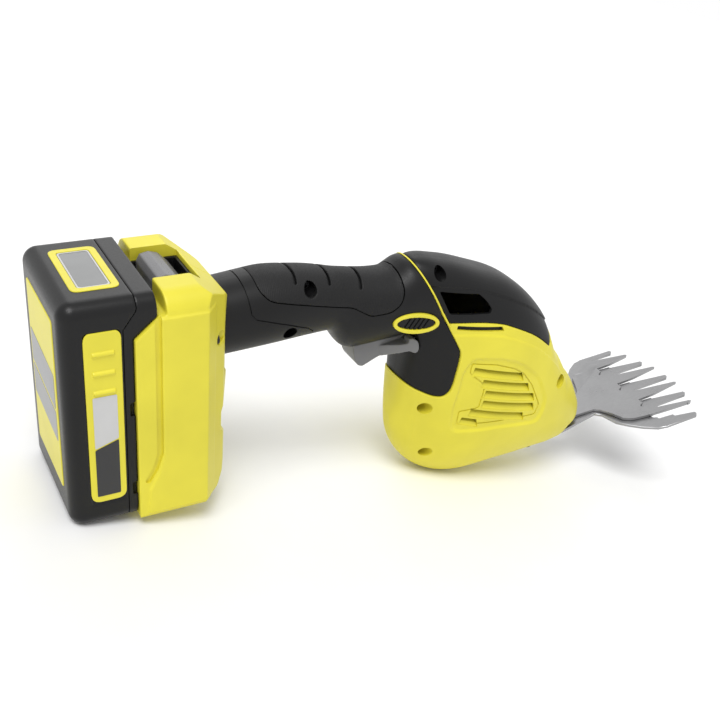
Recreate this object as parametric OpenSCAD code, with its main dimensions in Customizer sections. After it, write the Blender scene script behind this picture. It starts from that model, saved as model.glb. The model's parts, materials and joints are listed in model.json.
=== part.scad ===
// Cordless grass shears: a battery pack in a rear shoe, a straight grip, and a drive head with a
// fixed comb and a swinging blade. The pieces are drawn in the tool's own frame, X forward and the
// blades level on Z = 0, and the whole tool is then tipped back to rest on its pack and belly.

/* [Battery pack] */
// Length of the pack along its slide
pack_h = 133; // [125:1:145]
// Width of the pack
pack_w = 82; // [78:1:90]
// Depth of the rear tub, up to its seam
tub_d = 31; // [29:1:34]
// Depth of the lid that shows beside the shoe
lid_d = 5; // [4:0.5:7]
// Depth of the rail block behind the lid
rail_d = 13; // [12:0.5:15]
// Width of the rail block
rail_w = 58; // [54:1:62]
// Radius of the pack's edges
pack_edge = 8; // [6:0.5:8]
// Wall of the pack
pack_wall = 4; // [3.5:0.5:4.5]
// Lean of the pack and shoe towards the head
pack_lean = 5.56; // [4:0.5:8]
// Height of the pack's rear bottom edge over the blade plane
pack_rise = 70.5; // [66:0.5:76]

/* [Cells] */
// Diameter of a cell
cell_d = 18.4; // [18:0.1:18.8]
// Length of a cell
cell_len = 65; // [63:0.5:66]
// Number of cells
cell_count = 5; // [4:1:5]
// Pitch of the cells
cell_pitch = 20; // [19.2:0.1:21]

/* [Labels and display] */
// Width of the side label
side_label_w = 19; // [15:0.5:20]
// Height of the side label
side_label_h = 104; // [80:1:106]
// Width of the rear label
rear_label_w = 54; // [40:1:58]
// Height of the rear label
rear_label_h = 100; // [80:1:104]
// Depth of the display frame
frame_d = 22; // [20:0.5:23]
// Width of the display frame
frame_w = 46; // [40:1:52]
// Rim of the display frame
frame_rim = 4; // [3:0.5:5]
// Thickness of labels and display frame
label_t = 1; // [0.8:0.1:1.4]
// How far labels and frame stand proud
label_proud = 0.4; // [0.2:0.1:0.6]

/* [Shoe] */
// Width across the raised side panels
shoe_w = 88; // [86:1:92]
// Depth of the side panels ahead of the rails
side_d = 24.6; // [23:0.2:27]
// Depth of the front boss ahead of the side panels
boss_d = 22.4; // [21:0.2:25]
// Wall of the shoe
shoe_wall = 3; // [2.5:0.25:3.5]
// Width of the latch well in the crown
well_w = 29; // [26:1:34]
// Height of the raised side panel
panel_proud = 1.2; // [0.8:0.1:1.6]

/* [Handle] */
// Wall of the grip shells
grip_wall = 2.6; // [2.2:0.1:3]
// Thickness of the soft pad
pad_t = 1.6; // [1.2:0.1:2]
// Width of a pad groove
groove_w = 2; // [1.5:0.1:3]
// Pitch of the pad grooves
groove_pitch = 22; // [20:0.5:24]

/* [Head] */
// Half of the head's width
head_half = 36; // [34.5:0.5:38]
// Rearmost point of the head
head_rear = 215; // [213:0.5:216.5]
// Radius of the rounded belly behind the sole
belly_r = 54; // [51:0.5:56]
// Level of the sole under the blade plane
sole_z = -9; // [-11:0.5:-8]
// Point of the nose over the blades
nose_x = 374.5; // [371:0.5:378]
// Wall of the head shells
head_wall = 2.6; // [2.2:0.1:3]
// Lean of the yellow accent band
accent_lean = 23; // [21:0.5:25]
// Width of the accent band
accent_w = 1.1; // [0.9:0.1:1.8]
// Height of a louvre slot
louvre_h = 2.4; // [1.6:0.2:2.8]
// Pitch of the louvres
louvre_pitch = 7.5; // [7.1:0.1:7.8]

/* [Blades] */
// Thickness of each blade plate
blade_t = 2; // [1.6:0.1:2.2]
// Number of comb teeth
comb_teeth = 5; // [3:2:5]
// Pitch of the teeth
tooth_pitch = 24.2; // [22:0.2:25]
// Foremost tooth tip
tip_x = 469; // [462:1:474]
// Pivot of the swinging blade
pivot_x = 338; // [336:0.5:340]
// Diameter of the pivot bolt
pivot_d = 8; // [6:0.5:9]

/* [Drive] */
// Teeth of the motor pinion
pinion_teeth = 12; // [11:1:13]
// Teeth of the drive gear
gear_teeth = 36; // [34:1:38]
// Module of the gears
gear_module = 1; // [0.95:0.01:1.05]
// Face width of the gears
gear_face = 8; // [6:0.5:9]
// Diameter of the motor can
motor_d = 36; // [33:0.5:37]
// Length of the motor can
motor_len = 55; // [50:1:58]
// Throw of the eccentric
crank_throw = 3.5; // [3:0.1:4]
// Diameter of the gear shaft
shaft_d = 8; // [6:0.5:9]
// Outer diameter of the bearings
bearing_d = 19; // [17:0.5:20]
// Width of the bearings
bearing_w = 6; // [5:0.5:7]

/* [Controls] */
// Half width of the trigger lever
trigger_half = 9; // [8:0.25:10]
// Diameter of the trigger pin
trigger_pin_d = 4; // [3:0.25:5]
// Length of the lock button's bezel
lock_len = 31.5; // [28:0.5:33]
// Height of the lock button's bezel
lock_h = 13.5; // [12:0.5:15]
// Rim of the bezel
lock_rim = 3; // [2.5:0.25:3.5]
// Travel of the lock buttons
lock_travel = 2.5; // [2:0.25:3]
// Travel of the pack latch
latch_travel = 4; // [3:0.5:5]

/* [Clearances] */
// Parting gap between neighbouring shells
seam = 0.15; // [0.1:0.05:0.3]
// Gap of sliding and swinging pieces
slip = 0.4; // [0.3:0.05:0.6]
// Radial gap of a shaft in its bearing
fit = 0.05; // [0.02:0.01:0.1]
// Gap between the two blade plates
blade_gap = 0.3; // [0.2:0.05:0.4]

/* [Hidden] */
$fn = 48;
yellow = [0.89, 0.86, 0.29];
black = [0.17, 0.17, 0.18];
soft_black = [0.12, 0.12, 0.13];
grey = [0.52, 0.52, 0.53];
steel = [0.68, 0.69, 0.7];
brass = [0.78, 0.66, 0.36];
green = [0.16, 0.38, 0.22];
cell_blue = [0.3, 0.45, 0.6];

// Rest: the tool stands on the pack's rear bottom edge and the rounded belly of its head
belly_x = head_rear + belly_r;
belly_z = sole_z + belly_r;
edge_x = pack_edge * (cos(pack_lean) + sin(pack_lean));
edge_z = pack_rise + pack_edge * (cos(pack_lean) - sin(pack_lean));
rest_pitch = asin((belly_r - pack_edge) / norm([belly_x - edge_x, belly_z - edge_z]))
    - atan2(belly_z - edge_z, belly_x - edge_x);
floor_drop = belly_x * sin(rest_pitch) + belly_z * cos(rest_pitch) - belly_r;
top_corner = [edge_x + (pack_h - 2 * pack_edge) * sin(pack_lean),
    edge_z + (pack_h - 2 * pack_edge) * cos(pack_lean)];
rest_rear = top_corner[0] * cos(rest_pitch) - top_corner[1] * sin(rest_pitch) - pack_edge;
rest_front = tip_x * cos(rest_pitch) + blade_t * sin(rest_pitch);

module at_rest() translate([-(rest_rear + rest_front) / 2, 0, -floor_drop])
    rotate([0, -rest_pitch, 0]) children();
module on_pack() translate([0, 0, pack_rise]) rotate([0, pack_lean, 0]) children();
module right_half() intersection() {
    children();
    translate([-50, -100, -100]) cube([600, 100, 400]);
}
module left_half() intersection() {
    children();
    translate([-50, 0, -100]) cube([600, 100, 400]);
}
module both_sides() {
    children();
    mirror([0, 1, 0]) children();
}
// Solid between two levels of Y, from an outline drawn in X and Z
module side_cut(y0, y1) translate([0, y1, 0]) rotate([90, 0, 0]) linear_extrude(y1 - y0) children();
module round_rect(w, h, r) {
    square([w - 2 * r, h], center = true);
    square([w, h - 2 * r], center = true);
    for (x = [-1, 1], y = [-1, 1]) translate([x * (w / 2 - r), y * (h / 2 - r)]) circle(r);
}
module eye(length, height) scale([length / height, 1]) circle(d = height);

// Smooth curve through [position, value] pairs, with no overshoot between them
function span(pts, x, i = 0) = i >= len(pts) - 2 || x < pts[i + 1][0] ? i : span(pts, x, i + 1);
function rise(a, b) = (b[1] - a[1]) / (b[0] - a[0]);
function slope(pts, i) =
    i == 0 ? rise(pts[0], pts[1]) :
    i == len(pts) - 1 ? rise(pts[i - 1], pts[i]) :
    let (a = rise(pts[i - 1], pts[i]), b = rise(pts[i], pts[i + 1]))
    a * b <= 0 ? 0 : 2 * a * b / (a + b);
function curve(pts, x) =
    let (i = span(pts, x), p = pts[i], q = pts[i + 1], h = q[0] - p[0], t = (x - p[0]) / h)
    p[1] * (1 + 2 * t) * (1 - t) ^ 2 + slope(pts, i) * h * t * (1 - t) ^ 2
    + q[1] * t ^ 2 * (3 - 2 * t) - slope(pts, i + 1) * h * t ^ 2 * (1 - t);

// Cross-sections are superellipses, and a loft joins a row of them
function signed_power(v, e) = sign(v) * abs(v) ^ e;
function oval(x, half_w, lo, hi, e_top, e_base, n) =
    [for (k = [0 : n - 1]) let (a = 360 * k / n, e = a < 180 ? e_top : e_base)
        [x, half_w * signed_power(cos(a), 2 / e),
            (lo + hi) / 2 + (hi - lo) / 2 * signed_power(sin(a), 2 / e)]];
module loft(rings) {
    n = len(rings[0]);
    m = len(rings);
    polyhedron([for (r = rings) each r], concat(
        [[for (k = [0 : n - 1]) k]],
        [[for (k = [n - 1 : -1 : 0]) (m - 1) * n + k]],
        [for (i = [0 : m - 2], k = [0 : n - 1])
            let (a = i * n + k, b = i * n + (k + 1) % n) [a, a + n, b]],
        [for (i = [0 : m - 2], k = [0 : n - 1])
            let (a = i * n + k, b = i * n + (k + 1) % n) [b, a + n, b + n]]));
}

// Head: side view from belly arc and crown curve, plan view from two superellipse quarters
wide_x = 289;
crown = [[head_rear, 50], [217.5, 80], [220.5, 110], [223, 140], [224, 158], [230, 162], [252, 156],
    [276, 145.5], [300, 132.7], [322, 109.5], [336, 77], [342, 69], [346, 59], [355, 47], [365, 28],
    [nose_x, 11]];
rear_fullness = 2;
front_fullness = 1.88;
top_round = 2.9;
// The base grows squarer from the widest place to the nose
base_round = 2.4;
base_round_gain = 0.5;
base_round_len = 56;
head_steps = [0, 1, 2.5, 4.5, 7, 11, 17, 25, 35, 47, 61, 75, 89, 101, 111, 119, 124, 127, 129.5, 133,
    138, 144, 150, nose_x - head_rear - 3, nose_x - head_rear];
function belly(x) = x < belly_x
    ? belly_z - sqrt(max(0, belly_r ^ 2 - (belly_x - x) ^ 2))
    : sole_z + 6 * max(0, (x - 340) / (nose_x - 340)) ^ 2;
function quarter(t, e) = (1 - t ^ e) ^ (1 / e);
function head_side(x) = head_half * (x < wide_x
    ? quarter((wide_x - x) / (wide_x - head_rear + 0.3), rear_fullness)
    : quarter((x - wide_x) / (nose_x + 0.5 - wide_x), front_fullness));
function head_ring(x, inset, n) =
    let (lo = belly(x) + inset, squarer = min(1, max(0, (x - wide_x) / base_round_len)))
    oval(x, max(1, head_side(x) - inset), lo, max(lo + 2, curve(crown, x) - inset),
        top_round, base_round + squarer * base_round_gain, n);
outer_points = 24;
inner_points = 16;
module head_form(inset = 0, points = outer_points) {
    lead = inset > 0 ? inset + 1 : 0;
    steps = [for (s = head_steps) if (s >= lead && s <= nose_x - head_rear - lead) s];
    loft([for (s = steps) head_ring(head_rear + s, inset, points)]);
}

// Grip: a palm swell behind, the trigger housing ahead, and a flare into the head
grip_start = 97;
grip_end = 247;
grip_low = [[grip_start, 133.5], [130, 132], [155, 131], [168, 130], [176, 117], [190, 115.5],
    [205, 115], [grip_end, 112]];
grip_high = [[grip_start, 177], [130, 177.3], [155, 173], [182, 165], [205, 159], [213, 158],
    [225, 162.5], [grip_end, 157]];
grip_side = [[grip_start, 22], [130, 22.5], [155, 21], [180, 19.5], [200, 21], [216, 22], [230, 22.8],
    [grip_end, 25.2]];
grip_round = 2.15;
module grip_form(inset = 0, from = grip_start, to = grip_end, points = outer_points) {
    count = ceil((to - from) / 8);
    loft([for (i = [0 : count]) let (x = from + (to - from) * i / count)
        oval(x, curve(grip_side, x) - inset, curve(grip_low, x) + inset, curve(grip_high, x) - inset,
            grip_round, grip_round, points)]);
}

// Parting lines of the head, drawn in side view
accent_foot = [251, 104];
cover_edge = [[236, 124.6], [260, 121.4], [279, 116.2], [292, 109.5], [307, 99.8], [319, 89], [330, 77],
    [338, 66], [360, 36]];
function accent_at(u, v) = [accent_foot[0] + u * cos(accent_lean) - v * sin(accent_lean),
    accent_foot[1] + u * sin(accent_lean) + v * cos(accent_lean)];
module accent_side(u0, u1, v0 = -200, v1 = 200)
    polygon([accent_at(u0, v0), accent_at(u1, v0), accent_at(u1, v1), accent_at(u0, v1)]);
cover_front = 340;
function edge_point(x, gap) =
    let (lean = curve(cover_edge, x + 0.5) - curve(cover_edge, x - 0.5))
    [x, curve(cover_edge, x) + gap * norm([1, lean])];
module over_cover_edge(gap) polygon(concat([for (x = [236 : 8 : 332]) edge_point(x, gap)],
    [edge_point(cover_front - gap, gap), [cover_front - gap, 200], [200, 200]]));
// Black skirt of the neck, behind the accent and over the yellow shell
skirt_outline = [[80, 86], [212, 86], [219.3, 80.8], [225.5, 76.4], [235, 71.4], [241, 70.6],
    [245, 74.4], [246.8, 80], [250.3, 99], accent_foot, accent_at(0, 120), [80, 260]];
module skirt_side(gap, accent_gap) intersection() {
    offset(delta = -gap) polygon(skirt_outline);
    accent_side(-200, -accent_gap);
}

// Screw places in side view: X, Z, and the depth of the head's seat from the middle plane
grip_screws = [[155, 164], [140, 143]];
shell_screws = [[230.6, 62], [234.6, 23], [335.2, 54]];
cover_screw = [241.5, 154];
screw_d = 3;
screw_head_d = 6;
screw_head_h = 2.2;
screw_seat = 6;
screw_tail = 8;
post_w = 9;
module screw_posts(places) for (p = places) translate([p[0], 0, p[1]]) rotate([90, 0, 0])
    cylinder(d = post_w, h = 60, center = true);
// Counterbore from the right, shank hole, and a pilot hole in the left half
module screw_bores(places) for (p = places) translate([p[0], 0, p[1]]) rotate([90, 0, 0]) {
    translate([0, 0, screw_seat]) cylinder(d = screw_head_d + 2 * slip, h = 60);
    translate([0, 0, -screw_tail - 1]) cylinder(d = screw_d + 2 * fit, h = screw_seat + screw_tail + 2);
}
module screws(places) for (p = places) translate([p[0], 0, p[1]]) rotate([90, 0, 0]) {
    difference() {
        translate([0, 0, screw_seat]) cylinder(d = screw_head_d, h = screw_head_h);
        translate([0, 0, screw_seat + 1]) cylinder(d = screw_head_d / 2, h = screw_head_h, $fn = 6);
    }
    translate([0, 0, -screw_tail]) cylinder(d = screw_d, h = screw_seat + screw_tail);
}

// Battery shoe
lip_x = tub_d + lid_d + slip;
rail_front = tub_d + lid_d + rail_d;
plate_x = rail_front + 1;
tongue_x = tub_d + lid_d + 3.5;
tongue_t = 3;
tongue_in = 3;
tongue_len = pack_h - 13;
shoe_floor = 3.7;
shoe_h = pack_h - 1;
shoe_side = plate_x + side_d;
shoe_front = shoe_side + boss_d;
shoe_knee = shoe_front - 7;
knee_half = 26;
well_floor = shoe_h - 28;
well_front = shoe_side + 4.4;
crown_r = 12;
shoe_profile = [[lip_x, 0], [lip_x, shoe_h - 21.5], [lip_x + 13, shoe_h - 10], [plate_x + 3, shoe_h - 10],
    [plate_x + 3, shoe_h], [shoe_side - 1.6, shoe_h], [shoe_front - 5, shoe_h - 13],
    [shoe_front, shoe_h - 20], [shoe_front, 62], [shoe_front - 6, 51], [shoe_front - 8.6, 48],
    [shoe_front - 8.6, 36], [shoe_front - 4, 31], [shoe_front - 4, 10], [shoe_front - 11, 0]];
module shoe_block(w) intersection() {
    side_cut(-w / 2, w / 2) polygon(shoe_profile);
    linear_extrude(400, center = true) polygon([[30, -w / 2], [shoe_side, -w / 2],
        [shoe_knee, -knee_half], [shoe_front, -12], [shoe_front, 12], [shoe_knee, knee_half],
        [shoe_side, w / 2], [30, w / 2]]);
    rotate([90, 0, 90]) linear_extrude(120) union() {
        translate([-w / 2, -10]) square([w, shoe_h + 10 - crown_r]);
        translate([-w / 2 + crown_r, 0]) square([w - 2 * crown_r, shoe_h]);
        for (s = [-1, 1]) translate([s * (w / 2 - crown_r), shoe_h - crown_r]) circle(crown_r);
    }
}
module shoe_panels() intersection() {
    shoe_block(shoe_w);
    both_sides() side_cut(-shoe_w / 2, -shoe_w / 2 + 8) polygon([[plate_x, shoe_h - 11], [plate_x, 38],
        [plate_x - 2.5, 29], [lip_x + 6, 18], [lip_x + 5, 2], [shoe_front, 2], [shoe_front, shoe_h - 11]]);
}
module rail_channel() difference() {
    translate([lip_x - 1, -rail_w / 2 - slip, shoe_floor])
        cube([plate_x - lip_x + 1, rail_w + 2 * slip, 200]);
    both_sides() translate([tongue_x, -rail_w / 2 - slip - 1, 0])
        cube([tongue_t, tongue_in + 1, tongue_len]);
}
terminal_half = 22;
terminal_low = 8;
terminal_h = 22;
module terminal_window(gap) translate([plate_x - 1, -terminal_half - gap, terminal_low - gap])
    cube([shoe_wall + 2, 2 * (terminal_half + gap), terminal_h + 2 * gap]);
shoe_inner = shoe_w / 2 - 5;
// Passage for the wires from the shoe into the grip
wire_half = 20;
wire_low = 66;
wire_h = 28;
shoe_screw_y = 30;
shoe_screw_z = shoe_h - 35;
shoe_screw_seat = shoe_side + 7.9;
module shoe_screw_axis(out) translate([shoe_screw_seat, out * shoe_screw_y, shoe_screw_z])
    rotate([0, 90, 0]) children();
module shoe_form() difference() {
    union() {
        shoe_block(shoe_w - 2 * panel_proud);
        shoe_panels();
    }
    rail_channel();
    translate([plate_x + shoe_wall, -shoe_inner, 5])
        cube([shoe_side - plate_x - 2 * shoe_wall, 2 * shoe_inner, well_floor - 10]);
    translate([shoe_side - 8, -wire_half, wire_low]) cube([shoe_front, 2 * wire_half, wire_h]);
    translate([plate_x - 2, -well_w / 2, well_floor]) cube([well_front - plate_x + 2, well_w, 60]);
    terminal_window(seam);
    for (s = [-1, 1]) shoe_screw_axis(s) {
        translate([0, 0, -20]) cylinder(d = screw_d + 2 * fit, h = 40);
        cylinder(d = screw_head_d + 2 * slip, h = 40);
    }
}
module shoe_solid() difference() {
    on_pack() shoe_form();
    grip_form(-seam, 96, 128);
}
module shoe_right() color(yellow) right_half() shoe_solid();
module shoe_left() color(yellow) left_half() shoe_solid();
module shoe_screws() color(steel) on_pack() for (s = [-1, 1]) shoe_screw_axis(s) {
    cylinder(d = screw_head_d, h = screw_head_h);
    translate([0, 0, -screw_tail]) cylinder(d = screw_d, h = screw_tail + 1);
}

// Grip shells, with the neck that runs down into the head
neck_inset = 1;
slot_half = trigger_half + slip;
ear_half = 19;
ear_gap = 1;
trigger_rear = 181;
trigger_pivot = [228, 111];
lever_room = 126;
pad_outline = [[124.5, 200], [124.5, 172], [128.7, 167], [132, 165.3], [165, 153.7], [181, 148],
    [192, 140], [205, 139.5], [212, 143], [215.5, 149], [216.5, 158], [216.5, 200]];
module trigger_side(gap) polygon([[trigger_rear - gap, 121 + gap], [trigger_rear - gap, 112],
    [trigger_rear + 3 - gap, 104 - gap], [187, 100 - gap], [191, 99 - gap], [201, 102 - gap],
    [216, 103.5 - gap], [228, 101 - gap], [233, 100 - gap], [236 + gap, 103 - gap], [236.5 + gap, 108],
    [235 + gap, 113 + gap], [229, 117 + gap], [212, 118.5 + gap], [206, 121 + gap]]);
// Ears that reach round the neck like hooks
module ear_side(gap) polygon([[203 - gap, 111 + gap], [203 - gap, 102.5 - gap], [216, 103.5 - gap],
    [222, 102 - gap], [225.5 + gap, 104 - gap], [226.5 + gap, 108], [225.5 + gap, 113 + gap],
    [222, 115.5 + gap], [219.5 - gap, 115.5 + gap], [219.5 - gap, 112 + gap]]);
module ear_plan() polygon([[201, -8], [214, -ear_half + 3], [222, -ear_half], [236, -ear_half - 2],
    [236, ear_half + 2], [222, ear_half], [214, ear_half - 3], [201, 8]]);
lock_at = [221.5, -20.9, 128.6];
lock_lean = 12.5;
lock_turn = -5;
module at_lock() translate(lock_at) rotate([0, lock_lean, 0]) rotate([0, 0, lock_turn])
    rotate([90, 0, 0]) children();
module lock_hole() both_sides() at_lock() translate([0, 0, -12]) linear_extrude(30)
    eye(lock_len + 2 * seam, lock_h + 2 * seam);
spring_x = 200;
spring_d = 6;
spring_floor = 107;
spring_pocket = [[193, 122], [193, 109], [195, spring_floor], [206, spring_floor], [206, 122]];
switch_at = [186, 127.6];
switch_size = [24, 18, 17];
module switch_ribs() both_sides() translate([switch_at[0] + 8, -60, switch_at[1] + 3])
    cube([8, 60 - switch_size[1] / 2 - seam, 8]);
web_x = 221;
web_len = 13;
web_y = 9.6;
web_t = 2;
web_top = 122;
web_out = web_y + web_t;
module trigger_web_plates() both_sides() translate([web_x, web_y, trigger_pivot[1] - 5])
    cube([web_len, web_t, web_top - trigger_pivot[1] + 5]);
module trigger_webs() both_sides() translate([web_x, web_y, web_top - 3]) cube([web_len, 40, 3]);
module ear_slots() {
    both_sides() side_cut(web_out, 40) ear_side(ear_gap);
    side_cut(-web_out, web_out) polygon([[207, 118.5], [207, 102], [web_x, 102], [web_x, 118.5]]);
}
// Slot of the lever, with room over it for its swing
module lever_slot() side_cut(-slot_half, slot_half) {
    trigger_side(ear_gap);
    polygon([[trigger_rear - ear_gap, 118], [web_x, 116], [web_x, lever_room],
        [trigger_rear - ear_gap, lever_room]]);
}
module handle_solid() difference() {
    intersection() {
        union() {
            difference() {
                union() {
                    grip_form(0);
                    head_form(neck_inset);
                }
                grip_form(grip_wall + pad_t, points = inner_points);
                head_form(neck_inset + grip_wall, inner_points);
            }
            intersection() {
                grip_form(1);
                union() {
                    screw_posts(grip_screws);
                    trigger_webs();
                    switch_ribs();
                }
            }
            trigger_web_plates();
        }
        side_cut(-60, 60) skirt_side(seam, accent_w / 2 + seam);
    }
    intersection() {
        difference() {
            grip_form(-2, points = inner_points);
            grip_form(pad_t + fit);
        }
        side_cut(-60, 60) offset(seam) polygon(pad_outline);
    }
    lever_slot();
    ear_slots();
    screw_bores(grip_screws);
    trigger_axis() cylinder(d = trigger_pin_d + 2 * fit, h = 2 * web_out, center = true);
    lock_hole();
}
module handle_right() color(black) right_half() handle_solid();
module handle_left() color(black) left_half() handle_solid();
groove_x = 168;
groove_z = 165;
groove_lean = 15;
groove_len = 30;
module grip_pad() color(soft_black) difference() {
    intersection() {
        difference() {
            grip_form(0);
            grip_form(pad_t);
        }
        side_cut(-60, 60) polygon(pad_outline);
    }
    for (i = [-1 : 1]) translate([groove_x + i * groove_pitch, 0, groove_z]) rotate([0, groove_lean, 0])
        cube([groove_w, groove_len, 60], center = true);
    translate([grip_screws[0][0], 0, grip_screws[0][1]]) rotate([90, 0, 0])
        cylinder(d = screw_head_d + 2 * slip, h = 40);
}
module handle_screws() color(steel) screws(grip_screws);

// Head shells
mouth_half = 21;
rib_x = 300;
carrier_half = 22;
carrier_z = 12;
carrier_t = bearing_w;
louvre_foot = [284, 39];
louvre_lean = 20.5;
// Ends of each slot along its slope, from the lowest up
louvre_ends = [[-32.4, -19.4], [-29, 17], [-23, 23], [-24.5, 19.3], [-29.7, 10.4], [-39.5, 1.2]];
function louvre_at(i) = [louvre_foot[0] + i * louvre_pitch * sin(louvre_lean), 0,
    louvre_foot[1] + i * louvre_pitch * cos(louvre_lean)];
module head_shell() difference() {
    head_form(0);
    head_form(head_wall, inner_points);
}
// Slots that slope with the head, each a stadium drawn along the slope
module louvre_slots() for (i = [0 : len(louvre_ends) - 1])
    translate(louvre_at(i)) rotate([0, louvre_lean, 0]) both_sides() hull() for (x = louvre_ends[i])
        translate([x, -20, 0]) rotate([90, 0, 0]) cylinder(d = louvre_h, h = 30, $fn = 8);
panel_outline = [[258.2, 93.7], [276, 89], [290.5, 82], [298, 76], [306.5, 64], [313, 50], [315.5, 44],
    [312.5, 36.6], [288, 40.8], [250.6, 46.5], [251.4, 57.7], [264.6, 58.5], [267, 69], [267.7, 74],
    [264.7, 78.3], [257, 85.7]];
panel_sunk = 1;
module louvre_panel() intersection() {
    difference() {
        head_form(-2, inner_points);
        head_form(panel_sunk);
    }
    both_sides() side_cut(-60, -20) polygon(panel_outline);
}
side_slot_ends = [[248.2, 120], [279.8, 112.8]];
side_slot_h = 2.2;
module side_slot() both_sides() hull() for (p = side_slot_ends)
    translate([p[0], -15, p[1]]) rotate([90, 0, 0]) cylinder(d = side_slot_h, h = 30, $fn = 8);
mouth_rear = pivot_x - 29;
module blade_mouth() translate([mouth_rear, -mouth_half, -blade_t - 4])
    cube([80, 2 * mouth_half, 2 * blade_t + 7]);
module carrier_bosses(gap) for (p = comb_bolts) translate([p[0], p[1], -gap])
    cylinder(d = comb_boss_d + 2 * gap, h = carrier_z + 2 * gap);
module head_shell_solid() difference() {
    union() {
        difference() {
            head_shell();
            side_cut(-60, 60) over_cover_edge(-seam);
            side_cut(-60, 60) skirt_side(-seam, accent_w / 2);
            accent_side_cut();
        }
        intersection() {
            head_form(1);
            union() {
                screw_posts(shell_screws);
                carrier_ribs();
            }
        }
    }
    carrier_slot();
    louvre_panel();
    louvre_slots();
    side_slot();
    blade_mouth();
    carrier_bosses(slip);
    screw_bores(shell_screws);
}
// Ribs that clasp the edges of the gear carrier
rib_w = 8;
rib_in = 3;
module carrier_ribs() both_sides() translate([rib_x - rib_w / 2, -60, carrier_z - rib_in])
    cube([rib_w, 60 - carrier_half + rib_in, carrier_t + 2 * rib_in]);
module carrier_slot() translate([rib_x - rib_w, -carrier_half - seam, carrier_z - seam])
    cube([2 * rib_w, 2 * (carrier_half + seam), carrier_t + 2 * seam]);
module accent_side_cut() side_cut(-60, 60) intersection() {
    accent_side(-40, accent_w / 2 + seam, 15, 120);
    over_cover_edge(-2);
}
module head_shell_right() color(yellow) right_half() head_shell_solid();
module head_shell_left() color(yellow) left_half() head_shell_solid();
module head_screws() color(steel) screws(concat(shell_screws, [cover_screw]));

window_outline = [[239, 144.4], [265.5, 137.8], [270, 133], [273, 127.3], [271.5, 125], [244, 129.6]];
// Crease of the cover, with the band under it lying a little deeper
crease = [[225, 150], [253, 144.5], [270, 138.3], [289, 128.6], [308, 116.2], [340, 84], [360, 60]];
band_sunk = 0.6;
module cover_band() intersection() {
    difference() {
        head_form(-2, inner_points);
        head_form(band_sunk);
    }
    side_cut(-60, 60) polygon(concat([for (x = [225 : 9 : 360]) [x, curve(crease, x)]],
        [[360, 0], [225, 0]]));
}
module cover_solid() difference() {
    intersection() {
        union() {
            head_shell();
            intersection() {
                head_form(1);
                screw_posts([cover_screw]);
            }
        }
        side_cut(-60, 60) over_cover_edge(seam);
        side_cut(-60, 60) accent_side(accent_w / 2 + seam, 200);
    }
    cover_band();
    side_cut(-60, 60) polygon(window_outline);
    screw_bores([cover_screw]);
}
module top_cover_right() color(black) right_half() cover_solid();
module top_cover_left() color(black) left_half() cover_solid();
module accent_band() color(yellow) intersection() {
    difference() {
        union() {
            head_form(-0.2);
            grip_form(-0.2);
        }
        head_form(2, inner_points);
        grip_form(2, points = inner_points);
    }
    side_cut(-60, 60) intersection() {
        accent_side(-accent_w / 2, accent_w / 2);
        over_cover_edge(seam);
    }
}

// Lock buttons in their bezels
lock_depth = 5;
lock_inner_len = lock_len - 2 * lock_rim;
lock_inner_h = lock_h - 2 * lock_rim;
rib_count = 5;
rib_pitch = 3.2;
rib_slant = -25;
module lock_bezel() at_lock() translate([0, 0, -2]) difference() {
    linear_extrude(lock_depth) eye(lock_len, lock_h);
    translate([0, 0, -1]) linear_extrude(lock_depth + 2) eye(lock_inner_len, lock_inner_h);
}
module lock_button() at_lock() {
    difference() {
        translate([0, 0, -4.5]) linear_extrude(lock_depth + 1.7)
            eye(lock_inner_len - 2 * slip, lock_inner_h - 2 * slip);
        for (i = [0 : rib_count - 1])
            translate([(i - (rib_count - 1) / 2) * rib_pitch, 0, lock_depth - 2.6]) rotate(rib_slant)
                cube([1.2, 20, 1.2], center = true);
    }
    translate([0, 0, -6]) linear_extrude(1.5) eye(lock_len - 4, lock_h - 3.5);
}
module lock_bezel_right() color(yellow) lock_bezel();
module lock_bezel_left() color(yellow) mirror([0, 1, 0]) lock_bezel();
module lock_button_right() color(black) lock_button();
module lock_button_left() color(black) mirror([0, 1, 0]) lock_button();

// Trigger lever, hung on a pin between two webs of the neck
module trigger_axis() translate([trigger_pivot[0], 0, trigger_pivot[1]]) rotate([90, 0, 0]) children();
module trigger() color(grey) difference() {
    union() {
        side_cut(-trigger_half, trigger_half) trigger_side(0);
        intersection() {
            side_cut(-40, 40) ear_side(0);
            linear_extrude(200) ear_plan();
        }
    }
    both_sides() translate([web_x - slip - 1.4, web_y - slip, 90]) cube([40, web_t + 2 * slip, 40]);
    trigger_axis() cylinder(d = trigger_pin_d + 2 * fit, h = 2 * web_out, center = true);
    side_cut(-trigger_half + 2, trigger_half - 2) polygon(spring_pocket);
}
module trigger_pin() color(steel) trigger_axis()
    cylinder(d = trigger_pin_d, h = 2 * web_out, center = true);
module trigger_spring() color(steel) translate([spring_x, 0, spring_floor]) difference() {
    cylinder(d = spring_d, h = switch_at[1] - spring_floor);
    translate([0, 0, -1]) cylinder(d = spring_d - 2, h = 40);
}
module switch_block() color(soft_black) {
    translate([switch_at[0], -switch_size[1] / 2, switch_at[1]]) cube(switch_size);
    translate([switch_at[0] + 2.5, 0, switch_at[1] - 2]) cylinder(d = 4, h = 3);
}

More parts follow.
